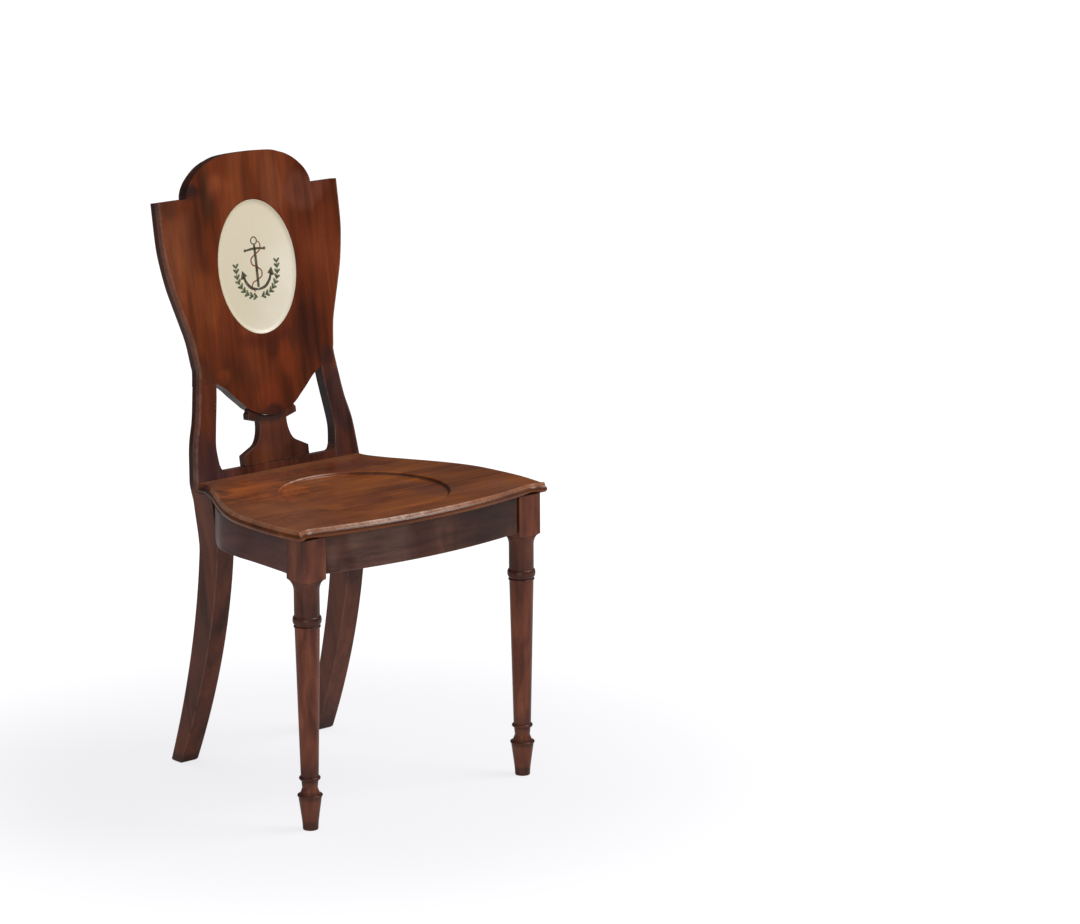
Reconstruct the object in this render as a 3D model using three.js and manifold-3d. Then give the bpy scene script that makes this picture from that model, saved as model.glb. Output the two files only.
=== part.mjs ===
// A hall chair of mahogany: a solid shield back with a painted oval, a dished board seat on bowed
// rails, two turned front legs and two swept rear posts. Millimetres, +Z up, the front faces -Y.
// The origin lies on the floor, in the middle of the chair's bounding box. Sub-parts are drawn for
// the right side and mirrored to the left; depths are first measured from the front legs' axis.
import * as THREE from 'three';
import { mergeVertices } from 'three/addons/utils/BufferGeometryUtils.js';
import Module from 'manifold-3d';

const wasm = await Module();
wasm.setup();

// Clearance at glued joints, overrun of cuts and fineness of curves
const JOINT_GAP = 0.3;
const OVERRUN = 20;
const CURVE_STEPS = 12;

// Seat board: its leads are measured forward from the axis of the front legs
const SEAT_HEIGHT = 435;
const BOARD_THICKNESS = 14;
const BOARD_HALF_WIDTH = 231;
const EAR_SETBACK = 6.5;
const EAR_LEAD = 25;
const NOTCH_WIDTH = 26.5;
const NOTCH_LEAD = 19;
const BOARD_BOW_LEAD = 44;
const DISH_RADIUS = 122;
const DISH_DEPTH = 5;
const DISH_WALL = 4;
const DISH_BACK = 113;
const DISH_SEGMENTS = 60;

// Front legs
const LEG_INSET = 28.5;
const LEG_TO_BACK = 309.6;
const BLOCK_SIDE = 39;
const BLOCK_DROP = 6.5;
const POMMEL_HEIGHT = 8;
const NECK_RADIUS = 18;
const RING_DROP = 58;
const RING_RADIUS = 20.4;
const RING_HALF = 6;
const BEAD_RADIUS = 19;
const BEAD_HALF = 1.6;
const SHAFT_TOP_RADIUS = 17.6;
const SHAFT_BOTTOM_RADIUS = 12.6;
const ANKLE_RING_HEIGHT = 75;
const ANKLE_RING_RADIUS = 15.2;
const ANKLE_RING_HALF = 2.6;
const COVE_RADIUS = 11.3;
const COVE_LIP = 0.8;
const COLLAR_HEIGHT = 50;
const COLLAR_RADIUS = 17.9;
const COLLAR_HALF = 1.6;
const FOOT_WAIST_HEIGHT = 15;
const FOOT_WAIST_RADIUS = 12;
const FOOT_RADIUS = 11;
const FOOT_CHAMFER = 1.5;
const LEG_SEGMENTS = 28;

// Rails under the board
const RAIL_HEIGHT = 53.5;
const FRONT_RAIL_THICKNESS = 24;
const FRONT_RAIL_PROUD = 0.5;
const FRONT_RAIL_BOW = 17;
const FRONT_RAIL_SINK = 5;
const FRONT_RAIL_RETURN = 14;
const SIDE_RAIL_THICKNESS = 23;
const SIDE_RAIL_SINK = 1;
const SIDE_RAIL_END_WIDTH = 24;
const REAR_RAIL_THICKNESS = 18.5;
const REAR_RAIL_RISE = 10.5;
const REAR_RAIL_FILLET = 8.5;
const TENON_THICKNESS = 8;
const TENON_LENGTH = 13;
const TENON_SHOULDER = 6;
const TENON_ROOT = 1;

// Rear posts: heights on the back are measured up its raked face from the seat
const BACK_RAKE = 8.6;
const BACK_THICKNESS = 18.5;
const POST_HALF_AT_SEAT = 150.5;
const POST_HALF_BELOW = 137;
const POST_BRACKET_DROP = 95;
const POST_INNER_X = 105.5;
const POST_SWELL = 3.2;
const POST_DEPTH = 44;
const POST_KNEE_DROP = 25;
const SABRE_SWEEP = 75;
const SABRE_POWER = 1.8;
const FOOT_DEPTH = 24.5;
const FOOT_OUTER_X = 143;
const FOOT_INNER_X = 112;
const POST_TOP_HEIGHT = 137;
const POST_TOP_INNER_X = 95.5;
const POST_TENON_WIDTH = 18;
const POST_TENON_LENGTH = 34;

// Shield
const WAIST_HALF = 124;
const WAIST_HEIGHT = 155;
const SHOULDER_HALF = 163;
const SHOULDER_HEIGHT = 405.3;
const ARCH_HALF = 112.5;
const ARCH_HEEL = 4;
const ARCH_RISE = 52.9;
const SHIELD_POINT_HEIGHT = 78;
const OVAL_HALF_WIDTH = 70.5;
const OVAL_HALF_HEIGHT = 98;
const OVAL_HEIGHT = 294.5;
const OVAL_RECESS = 6;
const OVAL_FLOOR = 2.5;
const OVAL_COVE = 7;
const OVAL_SEGMENTS = 60;

// Pedestal under the shield
const PEDESTAL_THICKNESS = 13;
const PEDESTAL_SET_BACK = 3;
const PEDESTAL_BASE_HALF = 59.3;
const PEDESTAL_BASE_RISE = 15.5;
const PEDESTAL_COVE_FOOT_HALF = 43;
const PEDESTAL_COVE_FOOT_RISE = 23.5;
const PEDESTAL_NECK_HALF = 24.8;
const PEDESTAL_NECK_HEIGHT = 71;
const PEDESTAL_CAP_HALF = 44;
const PEDESTAL_CAP_HEIGHT = 76.5;
const PEDESTAL_CAP_EDGE = 8;
const PEDESTAL_CAP_STEP = 3;
const PEDESTAL_TENON_HALF = 12;
const PEDESTAL_TENON_LENGTH = 12;
const PEDESTAL_TENON_THICKNESS = 6;

// Corner blocks and screws: a block's reach runs along the rails from the leg or post
const CORNER_BLOCK_HEIGHT = 30;
const CORNER_BLOCK_REACH = 42;
const SCREW_RADIUS = 2.2;
const SCREW_HEAD_RADIUS = 4.2;
const SCREW_HEAD_HEIGHT = 2.4;
const SCREW_POINT = 4;
const SCREW_SLOT_WIDTH = 1;
const SCREW_SLOT_DEPTH = 1;
const SCREW_SEGMENTS = 10;
const SCREW_SINK = 3;
const SEAT_SCREW_LENGTH = 38;
const RAIL_SCREW_LENGTH = 24;

// Outlines as shares of the sizes above, from one end of a curve to the other
const BOARD_SIDE_SHARES = [[0, 0], [0.02, 0.06], [0.18, 0.154], [0.354, 0.231], [0.665, 0.374], [0.876, 0.506],
  [0.963, 0.625], [1, 0.823]];
const SIDE_RAIL_OUTER_SHARES = [[1, 0], [0.97, 0.085], [0.925, 0.314], [0.912, 0.465], [0.824, 0.64],
  [0.66, 0.743], [0.496, 0.823], [0.245, 0.914], [0, 1]];
const SIDE_RAIL_INNER_SHARES = [[1, 0], [0.96, 0.2], [0.93, 0.4], [0.84, 0.55], [0.62, 0.72], [0.3, 0.88],
  [0, 1]];
const POST_BRACKET_SHARES = [[0, 0], [0.07, 0.06], [0.19, 0.2], [0.36, 0.36], [0.53, 0.52], [0.66, 0.66],
  [0.8, 0.79], [0.94, 0.9]];
const POST_OUTER_SHARES = [[1, 0], [0.94, 0.1], [0.755, 0.35], [0.41, 0.568], [0.19, 0.78]];
const POST_SWELL_SHARES = [[0, 0.145], [0.75, 0.25], [1, 0.36], [0.7, 0.52], [0.25, 0.7], [0, 0.872], [0, 1]];
const POST_TAPER_SHARES = [0, 0.05, 0.07, 0.27, 0.53, 0.82, 1];
const SHIELD_SIDE_SHARES = [[0, 0], [0.03, 0.05], [0.146, 0.18], [0.34, 0.288], [0.567, 0.404], [0.77, 0.517],
  [0.93, 0.657], [0.995, 0.773], [1, 1]];
const SHIELD_EDGE_SHARES = [[0, 0], [0.21, 0.06], [0.424, 0.212], [0.565, 0.407], [0.691, 0.59], [0.827, 0.802],
  [1, 1]];
const ARCH_SHARES = [[1, 0], [0.969, 0.183], [0.898, 0.401], [0.773, 0.641], [0.649, 0.796], [0.551, 0.873],
  [0.418, 0.955], [0.222, 0.992], [0, 1]];
const PEDESTAL_COVE_SHARES = [[1, 0], [0.62, 0.1], [0.34, 0.26], [0.12, 0.52], [0.02, 0.78], [0, 1]];
const RAIL_SCREW_SHARE = 0.2;
const SIDE_SCREW_SHARE = 0.76;

// Places that follow from the sizes
const EAR_HALF_WIDTH = BOARD_HALF_WIDTH - EAR_SETBACK;
const NOTCH_HALF_WIDTH = EAR_HALF_WIDTH - NOTCH_WIDTH;
const LEG_AXIS_X = EAR_HALF_WIDTH - LEG_INSET;
const BOARD_BOTTOM = SEAT_HEIGHT - BOARD_THICKNESS;
const RAIL_BOTTOM = BOARD_BOTTOM - RAIL_HEIGHT;
const BLOCK_BOTTOM = RAIL_BOTTOM - BLOCK_DROP;
const RING_HEIGHT = BLOCK_BOTTOM - RING_DROP;
const CORNER_BLOCK_BOTTOM = BOARD_BOTTOM - CORNER_BLOCK_HEIGHT;
const BLOCK_HALF = BLOCK_SIDE / 2;
const BLOCK_INNER_X = LEG_AXIS_X - BLOCK_HALF;
const BLOCK_OUTER_X = LEG_AXIS_X + BLOCK_HALF;
const RAKE = THREE.MathUtils.degToRad(BACK_RAKE);
const POST_BACK_Y = faceDepth(SEAT_HEIGHT - POST_KNEE_DROP) + BACK_THICKNESS / Math.cos(RAKE);
const POST_FRONT_Y = POST_BACK_Y - POST_DEPTH;
const SIDE_RAIL_BACK_Y = POST_FRONT_Y - JOINT_GAP;
const FRONT_RAIL_FACE_Y = -BLOCK_HALF - FRONT_RAIL_PROUD;
const FRONT_RAIL_BACK_Y = FRONT_RAIL_FACE_Y + FRONT_RAIL_THICKNESS;
const REAR_RAIL_FOOT = -(SEAT_HEIGHT - RAIL_BOTTOM) / Math.cos(RAKE);
const SIDES = { left: -1, right: 1 };
const DRIVES = { up: [0, 0, 0], forward: [90, 0, 0], back: [-90, 0, 0], out: [0, 90, 0] };

const mahogany = (color, roughness) => new THREE.MeshStandardMaterial({ color, roughness, metalness: 0 });
const SHIELD_WOOD = mahogany(0x6b3018, 0.3);
const SEAT_WOOD = mahogany(0x74401f, 0.35);
const FRAME_WOOD = mahogany(0x46281f, 0.38);
const HIDDEN_WOOD = mahogany(0x7a5a3c, 0.7);
const OVAL_PAINT = mahogany(0xdcd5bb, 0.55);
const IRON = new THREE.MeshStandardMaterial({ color: 0x4a4642, roughness: 0.5, metalness: 1 });

const chair = new THREE.Group();

// A solid from a closed geometry: shared vertices are merged and flat triangles left out
function solidOf(geometry) {
  const bare = geometry.index ? geometry.toNonIndexed() : geometry.clone();
  bare.deleteAttribute('normal');
  bare.deleteAttribute('uv');
  const merged = mergeVertices(bare);
  const index = merged.index.array;
  const kept = [];
  for (let i = 0; i < index.length; i += 3) {
    const [a, b, c] = [index[i], index[i + 1], index[i + 2]];
    if (a !== b && b !== c && c !== a) {
      kept.push(a, b, c);
    }
  }
  const mesh = new wasm.Mesh({
    numProp: 3,
    vertProperties: new Float32Array(merged.attributes.position.array),
    triVerts: new Uint32Array(kept),
  });
  return new wasm.Manifold(mesh);
}

// The named mesh of a finished solid, added to the chair
function addPiece(name, solid, material) {
  const data = solid.getMesh();
  const geometry = new THREE.BufferGeometry();
  geometry.setAttribute('position', new THREE.BufferAttribute(data.vertProperties, 3));
  geometry.setIndex(new THREE.BufferAttribute(data.triVerts, 1));
  geometry.computeVertexNormals();
  const mesh = new THREE.Mesh(geometry, material);
  mesh.name = name;
  chair.add(mesh);
}

// A piece of the right side and its mirror image on the left
function addPair(name, solid, material) {
  for (const [side, sign] of Object.entries(SIDES)) {
    addPiece(`${side}_${name}`, sign < 0 ? solid.mirror([1, 0, 0]) : solid, material);
  }
}

// A solid together with its mirror image
function twinned(solid) {
  return solid.add(solid.mirror([1, 0, 0]));
}

function shapeOf(points) {
  return new THREE.Shape(points.map(([x, y]) => new THREE.Vector2(x, y)));
}

// A smooth run through points, given as [x, y] pairs
function smooth(points, steps = CURVE_STEPS) {
  const curve = new THREE.SplineCurve(points.map(([x, y]) => new THREE.Vector2(x, y)));
  return curve.getPoints(steps).map((p) => [p.x, p.y]);
}

// An arc of an ellipse about a centre, between two angles in degrees
function arc(cx, cy, rx, ry, from, to, steps = CURVE_STEPS) {
  return Array.from({ length: steps + 1 }, (_, i) => {
    const angle = THREE.MathUtils.degToRad(from + (to - from) * i / steps);
    return [cx + rx * Math.cos(angle), cy + ry * Math.sin(angle)];
  });
}

// A whole outline from its right half, which starts and ends on the middle line
function whole(half) {
  return [...half, ...half.slice(1, -1).map(([x, y]) => [-x, y]).reverse()];
}

// Points between two sizes at each end of a run: x follows the first share and y the second
function spread(shares, [x0, x1], [y0, y1]) {
  return shares.map(([across, along]) => [x0 + (x1 - x0) * across, y0 + (y1 - y0) * along]);
}

// The x of a run, rising in y, where it passes a given y
function crossing(run, y) {
  const i = Math.max(1, run.findIndex((point) => point[1] >= y));
  const [[x0, y0], [x1, y1]] = [run[i - 1], run[i]];
  return x0 + (x1 - x0) * (y - y0) / (y1 - y0);
}

// The stretch of a rising run between two values of y, both ends included
function stretch(run, from, to) {
  const inside = run.filter(([, y]) => y > from && y < to);
  return [[crossing(run, from), from], ...inside, [crossing(run, to), to]];
}

// A plan outline raised from one height to another
function raised(points, bottom, top) {
  const geometry = new THREE.ExtrudeGeometry(shapeOf(points), { depth: top - bottom, bevelEnabled: false });
  return solidOf(geometry.translate(0, 0, bottom));
}

// A front outline of [x, height] pairs, run back from one depth to another
function runBack(points, front, back) {
  const geometry = new THREE.ExtrudeGeometry(shapeOf(points), { depth: back - front, bevelEnabled: false });
  return solidOf(geometry.rotateX(Math.PI / 2).translate(0, back, 0));
}

// A side outline of [depth, height] pairs, run across from one x to another
function runAcross(points, from, to) {
  const geometry = new THREE.ExtrudeGeometry(shapeOf(points), { depth: to - from, bevelEnabled: false });
  return solidOf(geometry.rotateX(Math.PI / 2).rotateZ(Math.PI / 2).translate(from, 0, 0));
}

function box([x0, x1], [y0, y1], [z0, z1]) {
  const geometry = new THREE.BoxGeometry(x1 - x0, y1 - y0, z1 - z0);
  return solidOf(geometry.translate((x0 + x1) / 2, (y0 + y1) / 2, (z0 + z1) / 2));
}

// A turned solid from [radius, height] pairs that start and end on the axis
function turned(profile, segments) {
  const points = profile.map(([r, z]) => new THREE.Vector2(r, z));
  return solidOf(new THREE.LatheGeometry(points, segments).rotateX(Math.PI / 2));
}

// The depth of the back's raked face at a height above the floor
function faceDepth(height) {
  return LEG_TO_BACK + (height - SEAT_HEIGHT) * Math.tan(RAKE);
}

// Moves a solid from the upright back, whose face is y = 0 and foot z = 0, to its raked place
function raked(solid) {
  return solid.rotate([-BACK_RAKE, 0, 0]).translate([0, LEG_TO_BACK, SEAT_HEIGHT]);
}

// Everything in front of the raked face of the back, less a clearance
function beforeBack() {
  const reach = BOARD_HALF_WIDTH + OVERRUN;
  return raked(box([-reach, reach], [-LEG_TO_BACK - SEAT_HEIGHT, -JOINT_GAP], [-SEAT_HEIGHT, SEAT_HEIGHT]));
}

// Outline of the seat board, from the middle of its front edge round to the back
function boardOutline() {
  const bow = BOARD_BOW_LEAD - NOTCH_LEAD;
  const radius = (NOTCH_HALF_WIDTH ** 2 + bow ** 2) / (2 * bow);
  const angle = THREE.MathUtils.radToDeg(Math.asin(NOTCH_HALF_WIDTH / radius));
  const front = arc(0, radius - BOARD_BOW_LEAD, radius, radius, -90, angle - 90);
  const ogee = smooth([
    [NOTCH_HALF_WIDTH, -NOTCH_LEAD],
    [(EAR_HALF_WIDTH + NOTCH_HALF_WIDTH * 2) / 3, -NOTCH_LEAD],
    [(EAR_HALF_WIDTH * 2 + NOTCH_HALF_WIDTH) / 3, -(EAR_LEAD * 2 + NOTCH_LEAD) / 3],
    [EAR_HALF_WIDTH, -EAR_LEAD],
  ], CURVE_STEPS / 2);
  const places = spread(BOARD_SIDE_SHARES, [POST_HALF_AT_SEAT, BOARD_HALF_WIDTH], [LEG_TO_BACK, -EAR_LEAD]);
  const side = smooth([...places, [EAR_HALF_WIDTH, -EAR_LEAD]], 2 * CURVE_STEPS).reverse();
  const back = LEG_TO_BACK + OVERRUN;
  return whole([...front, ...ogee.slice(1), ...side.slice(1), [POST_HALF_AT_SEAT, back], [0, back]]);
}

// The seat board: its dish is turned, and its back edge lies against the raked back
function seatBoard() {
  const dish = turned([
    [0, -DISH_DEPTH],
    [DISH_RADIUS - DISH_WALL, -DISH_DEPTH],
    ...arc(DISH_RADIUS - DISH_WALL, DISH_WALL - DISH_DEPTH, DISH_WALL, DISH_WALL, -60, 0, 3),
    [DISH_RADIUS, OVERRUN],
    [0, OVERRUN],
  ], DISH_SEGMENTS).translate([0, DISH_BACK, SEAT_HEIGHT]);
  return raised(boardOutline(), BOARD_BOTTOM, SEAT_HEIGHT).intersect(beforeBack()).subtract(dish);
}

// Profile of a front leg's turning, from the floor up past the block
function legProfile() {
  const ring = (height, radius, half, base) => arc(base, height, radius - base, half, -90, 90, 6);
  const collarBase = COLLAR_RADIUS - COLLAR_HALF;
  const collarTop = COLLAR_HEIGHT + COLLAR_HALF;
  const ankleFoot = ANKLE_RING_HEIGHT - ANKLE_RING_HALF;
  const coveRise = (ankleFoot - collarTop) / 5;
  const beadHeight = RING_HEIGHT - RING_HALF - 2 * BEAD_HALF;
  const corner = BLOCK_HALF * Math.SQRT2;
  const pommelFoot = BLOCK_BOTTOM - POMMEL_HEIGHT;
  return [
    [0, 0],
    [FOOT_RADIUS - FOOT_CHAMFER, 0],
    [FOOT_RADIUS, FOOT_CHAMFER],
    ...smooth([
      [FOOT_RADIUS, 2 * FOOT_CHAMFER],
      [FOOT_WAIST_RADIUS, FOOT_WAIST_HEIGHT],
      [collarBase, COLLAR_HEIGHT - 2 * COLLAR_HALF],
    ], 6),
    ...ring(COLLAR_HEIGHT, COLLAR_RADIUS, COLLAR_HALF, collarBase),
    ...smooth([
      [collarBase - COLLAR_HALF, collarTop],
      [COVE_RADIUS, collarTop + 2 * coveRise],
      [COVE_RADIUS, collarTop + 3 * coveRise],
      [COVE_RADIUS + COVE_LIP, ankleFoot],
    ], 6),
    ...ring(ANKLE_RING_HEIGHT, ANKLE_RING_RADIUS, ANKLE_RING_HALF, SHAFT_BOTTOM_RADIUS),
    ...ring(beadHeight, BEAD_RADIUS, BEAD_HALF, SHAFT_TOP_RADIUS),
    ...ring(RING_HEIGHT, RING_RADIUS, RING_HALF, NECK_RADIUS),
    ...arc(corner, pommelFoot, corner - NECK_RADIUS, POMMEL_HEIGHT, 180, 90, 5),
    [corner, BOARD_BOTTOM + OVERRUN],
    [0, BOARD_BOTTOM + OVERRUN],
  ];
}

// A front leg: one turning whose top is left square, with mortises for two rails
function frontLeg() {
  const around = [-BLOCK_SIDE, BLOCK_SIDE];
  const square = [-BLOCK_HALF, BLOCK_HALF];
  const pommelFoot = BLOCK_BOTTOM - POMMEL_HEIGHT;
  const blank = box(around, around, [-OVERRUN, pommelFoot]).add(box(square, square, [0, BOARD_BOTTOM]));
  return turned(legProfile(), LEG_SEGMENTS)
    .intersect(blank)
    .translate([LEG_AXIS_X, 0, 0])
    .subtract(frontRailTenon(JOINT_GAP))
    .subtract(sideRailFrontTenon(JOINT_GAP));
}

// Tenons are drawn with a clearance of 0, and their mortises with the joint gap
function tenonHeights(clearance) {
  return [RAIL_BOTTOM + TENON_SHOULDER - clearance, BOARD_BOTTOM - TENON_SHOULDER + clearance];
}

function frontRailTenon(clearance) {
  const middle = (FRONT_RAIL_BACK_Y - BLOCK_HALF) / 2;
  const half = TENON_THICKNESS / 2 + clearance;
  return box([BLOCK_INNER_X - TENON_ROOT, BLOCK_INNER_X + TENON_LENGTH + clearance],
    [middle - half, middle + half], tenonHeights(clearance));
}

function sideRailFrontTenon(clearance) {
  const half = TENON_THICKNESS / 2 + clearance;
  return box([LEG_AXIS_X - half, LEG_AXIS_X + half],
    [BLOCK_HALF - TENON_LENGTH - clearance, BLOCK_HALF + TENON_ROOT], tenonHeights(clearance));
}

function sideRailRearTenon(clearance) {
  const middle = (POST_INNER_X + POST_HALF_BELOW) / 2;
  const half = TENON_THICKNESS / 2 + clearance;
  return box([middle - half, middle + half],
    [POST_FRONT_Y - TENON_ROOT, POST_FRONT_Y + TENON_LENGTH + clearance], tenonHeights(clearance));
}

// In the upright back's own place
function rearRailTenon(clearance) {
  const half = TENON_THICKNESS / 2 + clearance;
  return box([POST_INNER_X - TENON_ROOT, POST_INNER_X + TENON_LENGTH + clearance],
    [BACK_THICKNESS / 2 - half, BACK_THICKNESS / 2 + half],
    [REAR_RAIL_FOOT + TENON_SHOULDER - clearance, REAR_RAIL_RISE - TENON_SHOULDER + clearance]);
}

// The front rail: bowed, with its face rounded back into the blocks
function frontRail() {
  const end = BLOCK_INNER_X - JOINT_GAP;
  const shoulder = end - FRONT_RAIL_RETURN;
  const sunk = FRONT_RAIL_SINK - BLOCK_HALF;
  const radius = (shoulder ** 2 + FRONT_RAIL_BOW ** 2) / (2 * FRONT_RAIL_BOW);
  const angle = THREE.MathUtils.radToDeg(Math.asin(shoulder / radius));
  const half = [
    ...arc(0, FRONT_RAIL_FACE_Y - FRONT_RAIL_BOW + radius, radius, radius, -90, angle - 90),
    ...arc(shoulder, sunk, FRONT_RAIL_RETURN, sunk - FRONT_RAIL_FACE_Y, -90, 0, 6).slice(1),
    [end, FRONT_RAIL_BACK_Y],
    [0, FRONT_RAIL_BACK_Y],
  ];
  return raised(whole(half), RAIL_BOTTOM, BOARD_BOTTOM).add(twinned(frontRailTenon(0)));
}

// Inner face of a side rail in plan, from the leg to the post
function sideRailInner() {
  const front = BLOCK_HALF + JOINT_GAP;
  const end = POST_HALF_BELOW - SIDE_RAIL_END_WIDTH;
  return smooth(spread(SIDE_RAIL_INNER_SHARES, [end, BLOCK_OUTER_X - SIDE_RAIL_SINK - SIDE_RAIL_THICKNESS],
    [front, SIDE_RAIL_BACK_Y]));
}

// A side rail: straight behind the leg, then sweeping inward to the post
function sideRail() {
  const front = BLOCK_HALF + JOINT_GAP;
  const outer = smooth(spread(SIDE_RAIL_OUTER_SHARES, [POST_HALF_BELOW, BLOCK_OUTER_X - SIDE_RAIL_SINK],
    [front, SIDE_RAIL_BACK_Y]), 2 * CURVE_STEPS);
  return raised([...outer, ...sideRailInner().reverse()], RAIL_BOTTOM, BOARD_BOTTOM)
    .add(sideRailFrontTenon(0))
    .add(sideRailRearTenon(0));
}

// The rear rail: flush with the back's face and filleted up into the posts
function rearRail() {
  const end = POST_INNER_X - JOINT_GAP;
  const half = [
    [0, REAR_RAIL_FOOT],
    [end, REAR_RAIL_FOOT],
    ...arc(end - REAR_RAIL_FILLET, REAR_RAIL_RISE + REAR_RAIL_FILLET, REAR_RAIL_FILLET, REAR_RAIL_FILLET,
      0, -90, 5),
    [0, REAR_RAIL_RISE],
  ];
  const rail = runBack(whole(half), 0, REAR_RAIL_THICKNESS).add(twinned(rearRailTenon(0)));
  return raked(rail.subtract(pedestalTenon(REAR_RAIL_RISE, JOINT_GAP)));
}

// Outer edge of the back from the seat to the shoulder, as [half width, height] pairs
function backEdge() {
  const post = spread(POST_OUTER_SHARES, [WAIST_HALF, POST_HALF_AT_SEAT], [0, WAIST_HEIGHT]);
  const shield = spread(SHIELD_SIDE_SHARES, [WAIST_HALF, SHOULDER_HALF], [WAIST_HEIGHT, SHOULDER_HEIGHT]);
  return smooth([...post, ...shield], 3 * CURVE_STEPS);
}

// Side outline of a post: swept leg, shoulder under the board, raked stile above it
function postSide() {
  const sabre = (top, sweep) => Array.from({ length: CURVE_STEPS + 1 }, (_, i) => {
    const height = RAIL_BOTTOM * i / CURVE_STEPS;
    return [top + sweep * (1 - height / RAIL_BOTTOM) ** SABRE_POWER, height];
  });
  const top = SEAT_HEIGHT + WAIST_HEIGHT;
  return [
    ...sabre(POST_FRONT_Y, SABRE_SWEEP + POST_DEPTH - FOOT_DEPTH),
    [POST_FRONT_Y, BOARD_BOTTOM],
    [faceDepth(BOARD_BOTTOM), BOARD_BOTTOM],
    [faceDepth(top), top],
    [faceDepth(top) + BACK_THICKNESS / Math.cos(RAKE), top],
    [POST_BACK_Y, SEAT_HEIGHT - POST_KNEE_DROP],
    ...sabre(POST_BACK_Y, SABRE_SWEEP).reverse(),
  ];
}

// Front outline of a post on the plane of the back, from the foot to the joint at the waist
function postFront() {
  const low = -SEAT_HEIGHT - OVERRUN;
  const bracket = spread(POST_BRACKET_SHARES, [POST_HALF_BELOW, POST_HALF_AT_SEAT], [-POST_BRACKET_DROP, 0]);
  const swell = POST_SWELL_SHARES.map(([share, along], i) => [
    POST_INNER_X + POST_SWELL * share - (POST_INNER_X - POST_TOP_INNER_X) * POST_TAPER_SHARES[i],
    POST_TOP_HEIGHT * along,
  ]);
  const joint = POST_TOP_HEIGHT - JOINT_GAP;
  return [
    [FOOT_OUTER_X, low],
    ...smooth([...bracket, [POST_HALF_AT_SEAT, 0]]).slice(0, -1),
    ...stretch(backEdge(), 0, joint),
    ...stretch(smooth(swell), POST_TOP_HEIGHT * POST_SWELL_SHARES[0][1], joint).reverse(),
    [POST_INNER_X, -POST_KNEE_DROP],
    [FOOT_INNER_X, low],
  ];
}

// The tenon on a post's top, in the upright back's own place
function postTenon(clearance) {
  const middle = (POST_TOP_INNER_X + WAIST_HALF) / 2;
  const half = POST_TENON_WIDTH / 2 + clearance;
  const thick = TENON_THICKNESS / 2 + clearance;
  return box([middle - half, middle + half], [BACK_THICKNESS / 2 - thick, BACK_THICKNESS / 2 + thick],
    [POST_TOP_HEIGHT - POST_TENON_WIDTH, POST_TOP_HEIGHT + POST_TENON_LENGTH + clearance]);
}

// A rear post: one piece from the floor to the shield's waist
function backPost() {
  const slab = raked(runBack(postFront(), -POST_DEPTH, SEAT_HEIGHT));
  return runAcross(postSide(), 0, BOARD_HALF_WIDTH)
    .intersect(slab)
    .add(raked(postTenon(0)))
    .subtract(sideRailRearTenon(JOINT_GAP))
    .subtract(raked(rearRailTenon(JOINT_GAP)));
}

// Lower edge of the shield between the posts, from its point outward
function shieldLowerEdge() {
  return smooth(spread(SHIELD_EDGE_SHARES, [0, POST_TOP_INNER_X], [SHIELD_POINT_HEIGHT, POST_TOP_HEIGHT]));
}

function ellipse(halfWidth, halfHeight, segments) {
  return arc(0, OVAL_HEIGHT, halfWidth, halfHeight, 0, 360 - 360 / segments, segments - 1);
}

// The shield panel: shoulders, arched crest, recess for the oval and mortises below
function shieldPanel() {
  const heel = SHOULDER_HEIGHT + ARCH_HEEL;
  const half = [
    ...shieldLowerEdge(),
    ...stretch(backEdge(), POST_TOP_HEIGHT, SHOULDER_HEIGHT),
    [ARCH_HALF, SHOULDER_HEIGHT],
    ...smooth(spread(ARCH_SHARES, [0, ARCH_HALF], [heel, heel + ARCH_RISE])),
  ];
  const recess = runBack(ellipse(OVAL_HALF_WIDTH, OVAL_HALF_HEIGHT, OVAL_SEGMENTS), -OVERRUN, OVAL_RECESS);
  return raked(runBack(whole(half), 0, BACK_THICKNESS)
    .subtract(recess)
    .subtract(twinned(postTenon(JOINT_GAP)))
    .subtract(pedestalTenon(SHIELD_POINT_HEIGHT, JOINT_GAP)));
}

// The oval tablet: flush at its rim, coved down to a flat field
function ovalTablet() {
  const width = OVAL_HALF_WIDTH - JOINT_GAP;
  const height = OVAL_HALF_HEIGHT - JOINT_GAP;
  const hollow = turned([
    [0, -OVAL_FLOOR],
    ...arc(width - OVAL_COVE, 0, OVAL_COVE, OVAL_FLOOR, -90, 0, 5),
    [width, OVERRUN],
    [0, OVERRUN],
  ], OVAL_SEGMENTS).scale([1, height / width, 1]).rotate([90, 0, 0]).translate([0, 0, OVAL_HEIGHT]);
  return raked(runBack(ellipse(width, height, OVAL_SEGMENTS), 0, OVAL_RECESS - JOINT_GAP).subtract(hollow));
}

// A tenon of the pedestal, centred on the edge it enters, in the upright back's own place
function pedestalTenon(edge, clearance) {
  const half = PEDESTAL_TENON_HALF + clearance;
  const thick = PEDESTAL_TENON_THICKNESS / 2 + clearance;
  const middle = PEDESTAL_SET_BACK + PEDESTAL_THICKNESS / 2;
  const reach = PEDESTAL_TENON_LENGTH + clearance;
  return box([-half, half], [middle - thick, middle + thick], [edge - reach, edge + reach]);
}

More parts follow.
